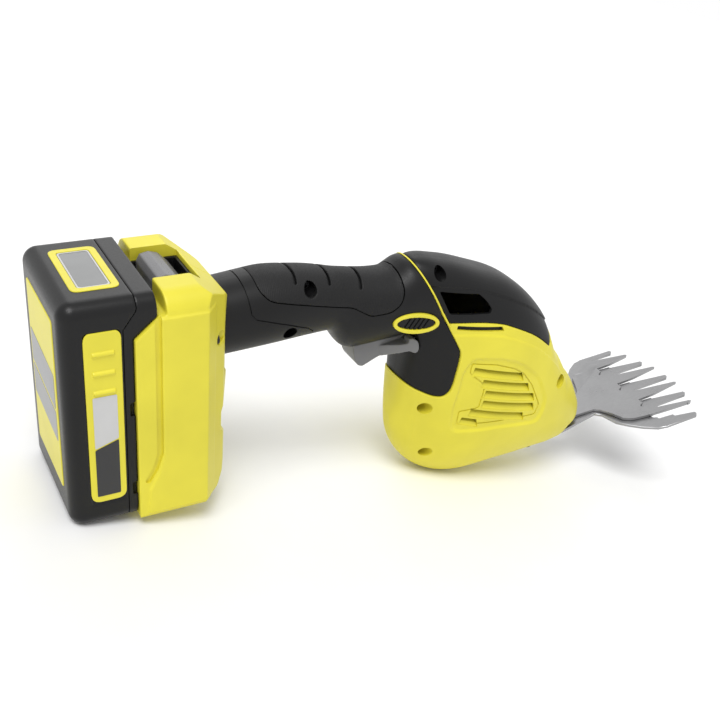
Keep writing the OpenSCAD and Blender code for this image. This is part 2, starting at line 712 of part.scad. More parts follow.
// Latch and terminals in the shoe
latch_half = well_w / 2 - 2.2;
latch_rear = plate_x + 5;
latch_wall = 2;
latch_front = well_front - latch_wall - latch_travel - slip;
latch_floor = well_floor + 3;
latch_frame_h = 21;
latch_tooth = [16, 6];
latch_spring_d = 7;
module latch_frame() color(black) on_pack() difference() {
    translate([plate_x + shoe_wall + seam, -well_w / 2 + seam, well_floor])
        cube([well_front - plate_x - shoe_wall - 2 * seam, well_w - 2 * seam, latch_frame_h]);
    translate([plate_x, -latch_half - slip, latch_floor])
        cube([well_front - latch_wall - plate_x, 2 * (latch_half + slip), 40]);
}
module release_button() color(grey) on_pack() {
    side_cut(-latch_half, latch_half) polygon([[latch_rear, latch_floor + slip], [latch_rear, shoe_h - 6],
        [latch_rear + 2, shoe_h - 2], [latch_rear + 7, shoe_h - 1], [latch_rear + 12, shoe_h - 2.5],
        [latch_front, shoe_h - 8],
        [latch_front, latch_floor + slip]]);
    translate([rail_front + 2 * slip, -latch_tooth[0] / 2, well_floor + 8])
        cube([latch_rear - rail_front, latch_tooth[0], latch_tooth[1]]);
}
module latch_spring() color(steel) on_pack() translate([latch_front, 0, well_floor + 10]) rotate([0, 90, 0])
    difference() {
        cylinder(d = latch_spring_d, h = well_front - latch_wall - latch_front);
        translate([0, 0, -1]) cylinder(d = latch_spring_d - 2, h = 12);
    }
blade_rows = [-15, -5, 5, 15];
blade_slot_w = 1;
blade_reach = 6;
terminal_d = 9;
module terminal_block() color(black) on_pack() difference() {
    union() {
        translate([plate_x, -terminal_half, terminal_low]) cube([terminal_d, 2 * terminal_half, terminal_h]);
        translate([plate_x + shoe_wall, -terminal_half - 3, 5 + seam]) cube([4, 2 * terminal_half + 6, 27]);
    }
    for (y = blade_rows) translate([plate_x - 1, y - blade_slot_w / 2, 12]) cube([6, blade_slot_w, 14]);
}
module terminal_blades() color(brass) on_pack() for (y = blade_rows)
    translate([rail_front - blade_reach, y - 0.4, 12.2])
        cube([plate_x + 4.5 - rail_front + blade_reach, 0.8, 13.6]);
board_t = 1.6;
control_half = shoe_inner - 9;
control_low = 12;
control_h = well_floor - 24;
module control_board() color(green) on_pack() translate([plate_x + terminal_d + seam, 0, control_low]) {
    translate([0, -control_half, 0]) cube([board_t, 2 * control_half, control_h]);
    for (z = [30, 48]) translate([board_t, -16, z]) cube([4, 12, 12]);
    translate([board_t, 6, 34]) rotate([0, 90, 0]) cylinder(d = 9, h = 6);
}

// Gear train and motor, upright in the head
gear_x = pivot_x - 36;
centre_gap = 0.1;
motor_x = gear_x - gear_module * (gear_teeth + pinion_teeth) / 2 - centre_gap;
gear_z = carrier_z + carrier_t + 2;
plate_z = gear_z + gear_face + 6;
motor_z = plate_z + carrier_t;
function involute(rb, t) = [rb * (cos(t) + t * PI / 180 * sin(t)), rb * (sin(t) - t * PI / 180 * cos(t))];
module gear_2d(teeth) {
    pitch_r = gear_module * teeth / 2;
    base_r = pitch_r * cos(20);
    root_r = pitch_r - 1.25 * gear_module;
    tip_r = pitch_r + 0.9 * gear_module;
    last = acos(base_r / tip_r);
    roll = tan(last) * 180 / PI;
    pitch_polar = tan(20) * 180 / PI - 20;
    half = 90 / teeth - 0.12 * 57.3 / pitch_r / 2 * gear_module;
    flank = [for (i = [0 : 4]) let (p = involute(base_r, roll * i / 4), a = half + pitch_polar)
        [p[0] * cos(a) + p[1] * sin(a), p[0] * sin(a) - p[1] * cos(a)]];
    circle(root_r);
    for (k = [0 : teeth - 1]) rotate(360 * k / teeth) polygon(concat([[root_r - 0.5, -flank[0][1]]],
        [for (p = flank) [p[0], -p[1]]], [for (i = [4 : -1 : 0]) flank[i]], [[root_r - 0.5, flank[0][1]]]));
}
motor_shaft_d = 5;
fan_d = 30;
fan_h = 7;
fan_blade_t = 1.2;
module motor_can() color(steel) translate([motor_x, 0, motor_z]) difference() {
    union() {
        cylinder(d = motor_d, h = motor_len - 8);
        translate([0, 0, motor_len - 8]) cylinder(d = motor_d - 3, h = 8);
    }
    translate([0, 0, -1]) cylinder(d = motor_shaft_d + 2 * fit, h = motor_len + 2);
    for (a = [0 : 90 : 270]) rotate(a + 45) translate([motor_d / 2, 0, 12]) cube([4, 9, 5], center = true);
}
module frame_plan() {
    polygon([[motor_x - 22, -20], [motor_x - 22, 20], [gear_x - 10, carrier_half],
        [gear_x + 20, carrier_half], [gear_x + 20, -carrier_half], [gear_x - 10, -carrier_half]]);
}
post_places = [[motor_x - 16, -16], [motor_x - 16, 16], [gear_x + 15, -17.5], [gear_x + 15, 17.5]];
post_d = 7;
module motor_plate() color(steel) difference() {
    translate([0, 0, plate_z]) linear_extrude(carrier_t) frame_plan();
    translate([gear_x, 0, plate_z - 1]) cylinder(d = bearing_d + 2 * fit, h = carrier_t + 2);
    translate([motor_x, 0, plate_z - 1]) cylinder(d = motor_shaft_d + 2, h = carrier_t + 2);
}
comb_bolts = [[pivot_x - 16, -15.5], [pivot_x - 16, 15.5]];
comb_bolt_d = 4;
comb_boss_d = 9;
module gear_carrier() color(steel) difference() {
    union() {
        translate([0, 0, carrier_z]) linear_extrude(carrier_t) {
            frame_plan();
            polygon([[gear_x + 15, -carrier_half], [pivot_x + 4, -13], [pivot_x + 12, -9],
                [pivot_x + 12, 9], [pivot_x + 4, 13], [gear_x + 15, carrier_half]]);
        }
        translate([pivot_x, 0, 2 * blade_gap + blade_t])
            cylinder(d = 2 * pivot_d, h = carrier_z - blade_t - 2 * blade_gap + 1);
        carrier_bosses(0);
    }
    translate([gear_x, 0, carrier_z - 1]) cylinder(d = bearing_d + 2 * fit, h = carrier_t + 2);
    translate([pivot_x, 0, -1]) cylinder(d = pivot_d + 2 * fit, h = 40);
    for (p = comb_bolts) translate([p[0], p[1], -1]) cylinder(d = comb_bolt_d + 2 * fit, h = 10);
}
module carrier_posts() color(steel) for (p = post_places) translate([p[0], p[1], carrier_z + carrier_t])
    cylinder(d = post_d, h = plate_z - carrier_z - carrier_t);
module bearing(z) translate([gear_x, 0, z]) difference() {
    cylinder(d = bearing_d, h = bearing_w);
    translate([0, 0, -1]) cylinder(d = shaft_d + 2 * fit, h = bearing_w + 2);
    for (s = [-0.01, bearing_w - 0.6]) translate([0, 0, s]) difference() {
        cylinder(d = bearing_d - 4, h = 0.61);
        translate([0, 0, -1]) cylinder(d = shaft_d + 4, h = 3);
    }
}
module upper_bearing() color(steel) bearing(plate_z);
module lower_bearing() color(steel) bearing(carrier_z);
module motor_shaft() color(steel) translate([motor_x, 0, gear_z])
    cylinder(d = motor_shaft_d, h = motor_z - gear_z + motor_len + fan_h + 2);
module pinion() color(brass) translate([motor_x, 0, gear_z]) difference() {
    linear_extrude(gear_face) rotate(180 / pinion_teeth) gear_2d(pinion_teeth);
    translate([0, 0, -1]) cylinder(d = motor_shaft_d + fit, h = gear_face + 2);
}
module cooling_fan() color(black) translate([motor_x, 0, motor_z + motor_len + 1.5]) difference() {
    union() {
        cylinder(d = 11, h = fan_h);
        cylinder(d = fan_d, h = fan_blade_t);
        for (a = [0 : 45 : 315]) rotate(a) translate([4, -fan_blade_t / 2, 0]) rotate(12)
            cube([fan_d / 2 - 5.5, fan_blade_t, fan_h]);
    }
    translate([0, 0, -1]) cylinder(d = motor_shaft_d + fit, h = 12);
}
module gear_shaft() color(steel) translate([gear_x, 0, carrier_z - 0.5])
    cylinder(d = shaft_d, h = plate_z + carrier_t - carrier_z);
light_ring = 9.5;
light_hole_d = 5;
module drive_gear() color(steel) translate([gear_x, 0, gear_z]) difference() {
    linear_extrude(gear_face) gear_2d(gear_teeth);
    translate([0, 0, -1]) cylinder(d = shaft_d + fit, h = gear_face + 2);
    for (a = [0 : 60 : 300]) rotate(a) translate([light_ring, 0, -1])
        cylinder(d = light_hole_d, h = gear_face + 2);
}
crank_pin_d = 7;
crank_z = blade_t + 2 * blade_gap + 0.1;
crank_disc_d = 17;
crank_disc_z = 8;
module eccentric() color(steel) translate([gear_x, 0, 0]) {
    translate([0, 0, crank_disc_z]) cylinder(d = crank_disc_d, h = carrier_z - crank_disc_z - 0.5);
    translate([crank_throw, 0, crank_z]) cylinder(d = crank_pin_d, h = crank_disc_z - crank_z);
}

// Blades: a wide fixed comb below and a narrow blade that swings over it
tip_drop = 15.2;
root_x = tip_x - 44;
comb_half = tooth_pitch * (comb_teeth - 1) / 2 + 2.2;
function tip_at(y) = tip_x - tip_drop * (abs(y) / (tooth_pitch * (comb_teeth - 1) / 2)) ^ 2;
tooth_root = tooth_pitch * 0.34;
// Plan outlines are drawn for one side, from the tail forward, and mirrored
comb_side = [[pivot_x - 24, 20.5], [pivot_x + 14, 19], [372, 15.5], [386, 13.2], [390, 17], [393, 29],
    [399, 36], [407, 43.5], [416, comb_half - 1.5], [424, comb_half], [root_x + 12, comb_half]];
function both_edges(side) = concat([for (p = side) [p[0], -p[1]]],
    [for (i = [len(side) - 1 : -1 : 0]) side[i]]);
// Middle lines of a row of teeth or gaps
function row(count) = [for (k = [0 : count - 1]) (k - (count - 1) / 2) * tooth_pitch];
// Gap between two teeth: a rounded root that opens towards the tips
module tooth_gap(x, y, half_w, depth, tip_half) polygon([[x, y - half_w], [x - depth + 1, y - half_w / 2],
    [x - depth, y], [x - depth + 1, y + half_w / 2], [x, y + half_w],
    [x + 46, y + tooth_pitch / 2 - tip_half], [x + 46, y - tooth_pitch / 2 + tip_half]]);
module comb_plan() difference() {
    union() {
        polygon(both_edges(comb_side));
        for (y = row(comb_teeth)) let (t = tip_at(y))
            polygon([[root_x - 3, max(-comb_half, y - tooth_root)], [t - 2.5, y - 2.2], [t, y + 0.4],
                [t - 0.6, y + 2.2], [root_x - 3, min(comb_half, y + tooth_root)]]);
    }
    for (y = row(comb_teeth - 1)) tooth_gap(root_x, y, 2.6, 4.5, 2.6);
}
blade_half = tooth_pitch * (comb_teeth - 2) / 2 + 1;
tail_half = 8;
yoke_half = 9.5;
blade_side = [[gear_x - 8, yoke_half], [gear_x + 8, yoke_half], [pivot_x - 16, tail_half],
    [pivot_x - 6, 11], [pivot_x + 10, 12.5], [372, 10.5], [387, 10.5], [391, 14], [395, 21], [399, 30],
    [405, 33.5], [414, 35], [root_x + 6, blade_half - 1]];
crank_slot = [2 * crank_throw + crank_pin_d + 1.2, crank_pin_d + 0.6];
module blade_plan() difference() {
    union() {
        polygon(both_edges(blade_side));
        for (y = row(comb_teeth - 1)) let (t = tip_at(y) - 1.5)
            polygon([[root_x - 6, y - 7.2], [t - 1.5, y - 1.1], [t, y], [t - 1.5, y + 1.1],
                [root_x - 6, y + 7.2]]);
    }
    for (y = row(comb_teeth - 2)) tooth_gap(root_x - 1, y, 2.4, 4, 1);
    translate([gear_x, 0]) square(crank_slot, center = true);
    translate([pivot_x, 0]) circle(d = pivot_d + 2 * fit);
}
module fixed_comb() color(steel) translate([0, 0, -blade_t]) linear_extrude(blade_t) difference() {
    comb_plan();
    translate([pivot_x, 0]) circle(d = pivot_d + 2 * fit);
    for (p = comb_bolts) translate(p) circle(d = comb_bolt_d + 2 * fit);
}
module moving_blade() color(steel) translate([0, 0, blade_gap]) linear_extrude(blade_t) blade_plan();
bolt_head_d = 14;
bolt_head_h = 2.6;
nut_d = 15;
nut_h = 6;
module pivot_bolt() color(steel) translate([pivot_x, 0, 0]) {
    translate([0, 0, -blade_t - bolt_head_h]) cylinder(d = bolt_head_d, h = bolt_head_h);
    translate([0, 0, -blade_t]) cylinder(d = pivot_d, h = blade_t + carrier_z + carrier_t + nut_h);
}
module pivot_nut() color(steel) translate([pivot_x, 0, carrier_z + carrier_t]) difference() {
    cylinder(d = nut_d, h = nut_h, $fn = 6);
    translate([0, 0, -1]) cylinder(d = pivot_d + 2 * fit, h = nut_h + 2);
}
module comb_screws() color(steel) for (p = comb_bolts) translate([p[0], p[1], -blade_t]) {
    translate([0, 0, -2]) cylinder(d = 7, h = 2);
    cylinder(d = comb_bolt_d, h = 10);
}

// Battery pack: a rounded tub behind, and a lid with the rail block that slides in the shoe
pack_half = pack_w / 2;
lid_front = tub_d + lid_d;
brow_front = rail_front - 0.5;
brow_d = 7;
brow_low = pack_h - 16;
brow_high = pack_h - 6;
cavity_half = pack_half - pack_wall - 1;
cavity_low = pack_wall + 1;
cell_x = (tub_d + pack_wall) / 2;
module pack_form() translate([pack_edge, 0, pack_h / 2]) {
    half_y = pack_half - pack_edge;
    half_z = pack_h / 2 - pack_edge;
    rotate([0, 90, 0]) linear_extrude(brow_front - pack_edge) round_rect(pack_h, pack_w, pack_edge);
    translate([-pack_edge, -half_y, -half_z]) cube([pack_edge + 1, 2 * half_y, 2 * half_z]);
    for (y = [-1, 1]) translate([0, y * half_y, -half_z]) cylinder(r = pack_edge, h = 2 * half_z);
    for (z = [-1, 1]) translate([0, half_y, z * half_z]) rotate([90, 0, 0])
        cylinder(r = pack_edge, h = 2 * half_y);
    for (y = [-1, 1], z = [-1, 1]) translate([0, y * half_y, z * half_z]) sphere(pack_edge);
}
module tub_side() polygon([[-1, -1], [tub_d, -1], [tub_d, brow_low], [tub_d + brow_d, brow_high],
    [tub_d + brow_d, 200], [-1, 200]]);
module lid_side() polygon([[tub_d + seam, -1], [lid_front, -1], [lid_front, pack_h - 22.1],
    [brow_front, pack_h - 11], [brow_front, 200], [tub_d + brow_d + seam, 200],
    [tub_d + brow_d + seam, brow_high], [tub_d + seam, brow_low]]);
side_label_at = [20.5, pack_h / 2 - 0.5];
rear_label_z = pack_h / 2 + 3.5;
frame_x = 23.5;
label_sink = label_t - label_proud;
module side_plate(gap) side_cut(-pack_half - label_proud, -pack_half + label_sink + gap)
    translate(side_label_at) round_rect(side_label_w + 2 * gap, side_label_h + 2 * gap, 2);
module rear_plate(gap) translate([-label_proud, 0, rear_label_z]) rotate([90, 0, 90])
    linear_extrude(label_t + gap) round_rect(rear_label_w + 2 * gap, rear_label_h + 2 * gap, 2);
module display_plate(gap) translate([frame_x, 0, pack_h - label_sink - gap])
    linear_extrude(label_t + gap) round_rect(frame_d + 2 * gap, frame_w + 2 * gap, frame_rim);
module battery_tub() color(black) on_pack() difference() {
    intersection() {
        pack_form();
        side_cut(-60, 60) tub_side();
    }
    translate([pack_wall, -cavity_half, cavity_low]) cube([60, 2 * cavity_half, pack_h - 2 * cavity_low]);
    side_plate(fit);
    rear_plate(fit);
    display_plate(fit);
}
board_half = 22;
board_low = 30;
board_high = pack_h - 17;
contact_half = 1.2;
rail_top = pack_h - 9;
module battery_lid() color(black) on_pack() difference() {
    union() {
        intersection() {
            pack_form();
            side_cut(-60, 60) lid_side();
        }
        translate([lid_front - 1, -rail_w / 2, shoe_floor + 0.3])
            cube([rail_d + 1, rail_w, rail_top - shoe_floor]);
    }
    translate([tub_d - 1, -board_half, board_low])
        cube([rail_d + 1, 2 * board_half, board_high - board_low]);
    both_sides() translate([tongue_x - slip, rail_w / 2 - tongue_in - slip, 0])
        cube([tongue_t + 2 * slip, 10, tongue_len + slip]);
    for (y = blade_rows) translate([rail_front - blade_reach - slip, y - contact_half, 0])
        cube([10, 2 * contact_half, 26.4]);
}
module battery_cells() color(cell_blue) on_pack() for (i = [0 : cell_count - 1])
    translate([cell_x, cell_len / 2, pack_h / 2 + (i - (cell_count - 1) / 2) * cell_pitch])
        rotate([90, 0, 0]) {
            cylinder(d = cell_d, h = cell_len);
            translate([0, 0, cell_len]) cylinder(d = 6, h = 0.8);
        }
holder_depth = 9;
module cell_holders() color(soft_black) on_pack() difference() {
    both_sides() translate([pack_wall + fit, -cavity_half + fit, cavity_low + 6])
        cube([tub_d - pack_wall - 0.3, holder_depth, pack_h - 2 * cavity_low - 12]);
    for (i = [0 : cell_count - 1])
        translate([cell_x, cell_len / 2 + 1, pack_h / 2 + (i - (cell_count - 1) / 2) * cell_pitch])
            rotate([90, 0, 0]) cylinder(d = cell_d + 2 * fit, h = cell_len + 2);
}
module battery_board() color(green) on_pack() translate([lid_front, -board_half + seam, board_low + seam]) {
    cube([board_t, 2 * (board_half - seam), board_high - board_low - 2 * seam]);
    for (z = [14, 44]) translate([board_t, 12, z]) cube([3, 14, 18]);
}
module battery_contacts() color(brass) on_pack() for (y = blade_rows, s = [-1, 1])
    translate([rail_front - blade_reach, y + s * (contact_half - 0.2 - fit) - 0.2, 8]) cube([5.5, 0.4, 18]);
module display_frame() color(yellow) on_pack() difference() {
    display_plate(0);
    translate([frame_x, 0, pack_h - 3])
        linear_extrude(10) round_rect(frame_d - 2 * frame_rim, frame_w - 2 * frame_rim, frame_rim / 2);
}
module display_window() color(grey) on_pack() translate([frame_x, 0, pack_h - label_sink])
    linear_extrude(label_t / 2)
        round_rect(frame_d - 2 * (frame_rim + seam), frame_w - 2 * (frame_rim + seam), frame_rim / 2);
// Side label with three raised finger ribs near its top
label_rib_top = side_label_at[1] + side_label_h / 2 - 12;
label_rib_pitch = 11;
label_rib_len = 11;
label_rib_d = 2.4;
module label_ribs() for (i = [0 : 2])
    translate([side_label_at[0], -pack_half - label_proud, label_rib_top - i * label_rib_pitch])
        rotate([0, 90, 0]) cylinder(d = label_rib_d, h = label_rib_len, center = true);
module side_label() color(yellow) on_pack() {
    side_plate(0);
    difference() {
        label_ribs();
        translate([0, label_sink - pack_half, 0]) cube([tub_d, 10, pack_h]);
    }
}
module rear_label() color(yellow) on_pack() rear_plate(0);

at_rest() shoe_right();
at_rest() shoe_left();
at_rest() handle_right();
at_rest() handle_left();
at_rest() grip_pad();
at_rest() head_shell_right();
at_rest() head_shell_left();
at_rest() top_cover_right();
at_rest() top_cover_left();
at_rest() accent_band();
at_rest() lock_bezel_right();
at_rest() lock_bezel_left();
at_rest() lock_button_right();
at_rest() lock_button_left();
at_rest() trigger();
at_rest() trigger_pin();
at_rest() trigger_spring();
at_rest() switch_block();
at_rest() control_board();
at_rest() latch_frame();
at_rest() release_button();
at_rest() latch_spring();
at_rest() terminal_block();
at_rest() terminal_blades();
at_rest() motor_can();
at_rest() motor_plate();
at_rest() motor_shaft();
at_rest() pinion();
at_rest() cooling_fan();
at_rest() gear_carrier();
at_rest() carrier_posts();
at_rest() upper_bearing();
at_rest() lower_bearing();
at_rest() gear_shaft();
at_rest() drive_gear();
at_rest() eccentric();
at_rest() fixed_comb();
at_rest() moving_blade();
at_rest() pivot_bolt();
at_rest() pivot_nut();
at_rest() comb_screws();
at_rest() battery_tub();
at_rest() battery_lid();
at_rest() battery_cells();
at_rest() cell_holders();
at_rest() battery_board();
at_rest() battery_contacts();
at_rest() display_frame();
at_rest() display_window();
at_rest() side_label();
at_rest() rear_label();
at_rest() handle_screws();
at_rest() head_screws();
at_rest() shoe_screws();
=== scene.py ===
import json
import math
import bpy
from mathutils import Matrix, Vector


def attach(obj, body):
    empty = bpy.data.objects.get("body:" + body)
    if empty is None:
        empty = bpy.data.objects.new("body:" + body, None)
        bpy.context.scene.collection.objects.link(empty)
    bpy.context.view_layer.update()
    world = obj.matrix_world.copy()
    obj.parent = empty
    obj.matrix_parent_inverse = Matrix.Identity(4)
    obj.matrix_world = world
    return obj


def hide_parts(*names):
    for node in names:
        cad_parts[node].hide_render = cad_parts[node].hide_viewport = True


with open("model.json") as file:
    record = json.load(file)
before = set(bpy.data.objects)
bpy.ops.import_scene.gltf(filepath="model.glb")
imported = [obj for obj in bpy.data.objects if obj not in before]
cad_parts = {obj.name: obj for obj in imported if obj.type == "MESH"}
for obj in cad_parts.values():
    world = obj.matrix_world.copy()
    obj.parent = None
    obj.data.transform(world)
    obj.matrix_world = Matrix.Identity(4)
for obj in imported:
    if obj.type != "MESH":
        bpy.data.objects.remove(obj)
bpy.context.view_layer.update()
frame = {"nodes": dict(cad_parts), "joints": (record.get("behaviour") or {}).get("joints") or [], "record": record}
nodes = frame["nodes"]
joints = {joint["name"]: joint for joint in frame["joints"]}

# The tool is drawn in millimetres with its blades level, then turned to lie as the frame lies
drawing = {"pivotX": 338.0, "pivotZ": 1.3, "packRise": 70.5, "millimetre": 0.001}
toolUp = Vector(joints["blade_swing"]["axis"])
pitch = math.atan2(-toolUp.x, toolUp.z)
toolTurn = Matrix.Rotation(-pitch, 4, "Y")
pivotPlace = Vector((drawing["pivotX"], 0, drawing["pivotZ"])) * drawing["millimetre"]
toolShift = Matrix.Translation(Vector(joints["blade_swing"]["pos_m"]) - toolTurn @ pivotPlace)
toolSpace = toolShift @ toolTurn @ Matrix.Scale(drawing["millimetre"], 4)
packUp = Vector(joints["battery_slide"]["axis"])
packLean = math.atan2(packUp.x, packUp.z) + pitch
packInTool = Matrix.Translation((0, 0, drawing["packRise"])) @ Matrix.Rotation(packLean, 4, "Y")
packSpace = toolSpace @ packInTool


# small helpers for working as by hand
def deselectAll():
    if bpy.context.object and bpy.context.object.mode != "OBJECT":
        bpy.ops.object.mode_set(mode="OBJECT")
    bpy.ops.object.select_all(action="DESELECT")


def makeActive(piece):
    deselectAll()
    piece.select_set(True)
    bpy.context.view_layer.objects.active = piece


def editAll(piece):
    makeActive(piece)
    bpy.ops.object.mode_set(mode="EDIT")
    bpy.ops.mesh.select_all(action="SELECT")


# leave edit mode with all faces looking outwards
def finishEdit():
    bpy.ops.mesh.select_all(action="SELECT")
    bpy.ops.mesh.normals_make_consistent(inside=False)
    bpy.ops.object.mode_set(mode="OBJECT")


def shapeWith(piece, kind, **settings):
    modifier = piece.modifiers.new(kind.lower(), kind)
    for key, value in settings.items():
        setattr(modifier, key, value)
    makeActive(piece)
    bpy.ops.object.modifier_apply(modifier=modifier.name)
    return piece


def combine(piece, tool, operation, keep=False):
    shapeWith(piece, "BOOLEAN", operation=operation, object=tool, solver="MANIFOLD")
    if not keep:
        bpy.data.objects.remove(tool)
    return piece


def cut(piece, tool):
    return combine(piece, tool, "DIFFERENCE")


def crop(piece, tool, keep=False):
    return combine(piece, tool, "INTERSECT", keep)


def join(piece, *tools):
    for tool in tools:
        combine(piece, tool, "UNION")
    return piece


def duplicate(piece, name):
    copy = piece.copy()
    copy.data = piece.data.copy()
    copy.name = name
    bpy.context.scene.collection.objects.link(copy)
    return copy


# a piece turned or mirrored in its mesh, its faces looking outwards again
def turned(piece, matrix):
    piece.data.transform(matrix)
    editAll(piece)
    finishEdit()
    return piece


def mirrored(piece, name):
    return turned(duplicate(piece, name), Matrix.Scale(-1, 4, (0, 1, 0)))


# a closed skin through a row of rings, from a grid wrapped round
def wrapRings(name, rings):
    deselectAll()
    count = len(rings[0])
    bpy.ops.mesh.primitive_grid_add(x_subdivisions=count, y_subdivisions=len(rings) - 1, size=1)
    piece = bpy.context.object
    piece.name = name
    places = [ring[k % count] for ring in rings for k in range(count + 1)]
    for vertex, place in zip(piece.data.vertices, places):
        vertex.co = place
    editAll(piece)
    bpy.ops.mesh.remove_doubles(threshold=0.001)
    bpy.ops.mesh.fill_holes(sides=0)
    finishEdit()
    return piece


# a flat outline, given by side view X and Z, pulled out along Y
def pullOutline(name, outline, low, high):
    deselectAll()
    bpy.ops.mesh.primitive_circle_add(vertices=len(outline), radius=1, fill_type="NGON")
    piece = bpy.context.object
    piece.name = name
    for vertex, point in zip(piece.data.vertices, outline):
        vertex.co = (point[0], low, point[1])
    editAll(piece)
    bpy.ops.mesh.extrude_region_move(TRANSFORM_OT_translate={"value": (0, high - low, 0)})
    finishEdit()
    return piece


through = 60


# an outline pulled right through the tool; extra keeps the ends of two such tools apart
def pullThrough(name, outline, extra=0):
    return pullOutline(name, outline, -through - extra, through + extra)


# an outline in plan, X and Y, pulled up
def pullPlan(name, outline, low, high):
    swapped = Matrix(((1, 0, 0, 0), (0, 0, 1, 0), (0, 1, 0, 0), (0, 0, 0, 1)))
    return turned(pullOutline(name, outline, low, high), swapped)


def block(name, low, high):
    deselectAll()
    bpy.ops.mesh.primitive_cube_add(size=1)
    piece = bpy.context.object
    piece.name = name
    for vertex in piece.data.vertices:
        vertex.co = [low[k] if vertex.co[k] < 0 else high[k] for k in range(3)]
    return piece


def rod(name, start, end, radius, endRadius=None, sides=48):
    start, end = Vector(start), Vector(end)
    deselectAll()
    bpy.ops.mesh.primitive_cone_add(vertices=sides, radius1=radius,
                                    radius2=radius if endRadius is None else endRadius,
                                    depth=(end - start).length)
    piece = bpy.context.object
    piece.name = name
    turn = (end - start).to_track_quat("Z", "Y").to_matrix().to_4x4()
    piece.data.transform(Matrix.Translation((start + end) / 2) @ turn)
    return piece


# corners of an outline turned into arcs
def roundCorners(outline, radius, steps=5):
    rounded = []
    for k, point in enumerate(outline):
        here = Vector(point)
        before = Vector(outline[k - 1]) - here
        after = Vector(outline[(k + 1) % len(outline)]) - here
        reach = min(radius, before.length * 0.45, after.length * 0.45)
        first, last = here + before.normalized() * reach, here + after.normalized() * reach
        for step in range(steps + 1):
            t = step / steps
            rounded.append(tuple(first * (1 - t) ** 2 + here * 2 * t * (1 - t) + last * t ** 2))
    return rounded


# an outline drawn larger or smaller by an even distance
def offsetOutline(outline, distance):
    area = sum(a[0] * b[1] - b[0] * a[1] for a, b in zip(outline, outline[1:] + outline[:1]))
    side = math.copysign(1, area)
    moved = []
    for k, point in enumerate(outline):
        here = Vector(point)
        into = (here - Vector(outline[k - 1])).normalized()
        away = (Vector(outline[(k + 1) % len(outline)]) - here).normalized()
        first = Vector((into.y, -into.x)) * side
        second = Vector((away.y, -away.x)) * side
        middle = (first + second).normalized()
        moved.append(tuple(here + middle * distance / max(0.4, middle.dot(first))))
    return moved


# smooth curve through [position, value] pairs with no overshoot
def curveAt(points, x):
    k = 0
    while k < len(points) - 2 and x >= points[k + 1][0]:
        k += 1
    rises = [(b[1] - a[1]) / (b[0] - a[0]) for a, b in zip(points, points[1:])]

    def slope(i):
        if i == 0 or i == len(points) - 1:
            return rises[min(i, len(rises) - 1)]
        a, b = rises[i - 1], rises[i]
        return 0 if a * b <= 0 else 2 * a * b / (a + b)

    (x0, y0), (x1, y1) = points[k], points[k + 1]
    h = x1 - x0
    t = (x - x0) / h
    return (y0 * (1 + 2 * t) * (1 - t) ** 2 + slope(k) * h * t * (1 - t) ** 2
            + y1 * t ** 2 * (3 - 2 * t) - slope(k + 1) * h * t ** 2 * (1 - t))


def signedPower(value, power):
    return math.copysign(abs(value) ** power, value)


def ovalRing(x, halfWidth, low, high, topRound, baseRound, count):
    ring = []
    for k in range(count):
        angle = 2 * math.pi * k / count
        power = 2 / (topRound if k < count / 2 else baseRound)
        ring.append((x, halfWidth * signedPower(math.cos(angle), power),
                     (low + high) / 2 + (high - low) / 2 * signedPower(math.sin(angle), power)))
    return ring


def divided(stations, parts):
    fine = [a + (b - a) * k / parts for a, b in zip(stations, stations[1:]) for k in range(parts)]
    return fine + [stations[-1]]


print("helpers ready")


# materials: every finish has its own grain, tone and gloss on object coordinates
def newMaterial(name):
    material = bpy.data.materials.new(name)
    material.use_nodes = True
    tree = material.node_tree
    tree.nodes.clear()
    out = tree.nodes.new("ShaderNodeOutputMaterial")
    shader = tree.nodes.new("ShaderNodeBsdfPrincipled")
    tree.links.new(shader.outputs["BSDF"], out.inputs["Surface"])
    coords = tree.nodes.new("ShaderNodeTexCoord")
    return material, tree, shader, coords


def newNode(tree, kind, values):
    node = tree.nodes.new("ShaderNode" + kind)
    for key, value in values.items():
        node.inputs[key].default_value = value
    return node


def noise(tree, coords, scale, detail, roughness=0.55):
    texture = newNode(tree, "TexNoise", {"Scale": scale, "Detail": detail, "Roughness": roughness})
    tree.links.new(coords.outputs["Object"], texture.inputs["Vector"])
    return texture.outputs["Fac"]


def spread(tree, source, low, high):
    ranged = newNode(tree, "MapRange", {"From Min": 0.3, "From Max": 0.7, "To Min": low, "To Max": high})
    tree.links.new(source, ranged.inputs["Value"])
    return ranged.outputs["Result"]


def shade(colour, amount):
    return tuple(channel * amount for channel in colour)


# tone and gloss of a shader, each from its own texture
def dress(tree, shader, colour, toneFrom, toneRange, glossFrom, glossRange):
    mix = tree.nodes.new("ShaderNodeMix")
    mix.data_type = "RGBA"
    for key, amount in zip("AB", toneRange):
        mix.inputs[key].default_value = (*shade(colour, amount), 1)
    tree.links.new(spread(tree, toneFrom, 0, 1), mix.inputs["Factor"])
    tree.links.new(mix.outputs["Result"], shader.inputs["Base Color"])
    tree.links.new(spread(tree, glossFrom, *glossRange), shader.inputs["Roughness"])


def addBump(tree, shader, height, strength, distance):
    bump = newNode(tree, "Bump", {"Strength": strength, "Distance": distance})
    tree.links.new(height, bump.inputs["Height"])
    tree.links.new(bump.outputs["Normal"], shader.inputs["Normal"])


# moulded plastic: spark-eroded grain, faint flow tone and a slow change of gloss
def mouldedPlastic(name, colour, gloss, grainScale, grainHeight, toneRange=(0.93, 1.05), mirror=0.4):
    material, tree, shader, coords = newMaterial(name)
    grain = noise(tree, coords, grainScale, 4, 0.6)
    dress(tree, shader, colour, noise(tree, coords, 22, 3), toneRange, grain, (gloss - 0.05, gloss + 0.07))
    addBump(tree, shader, grain, 0.35, grainHeight)
    shader.inputs["Specular IOR Level"].default_value = mirror
    return material


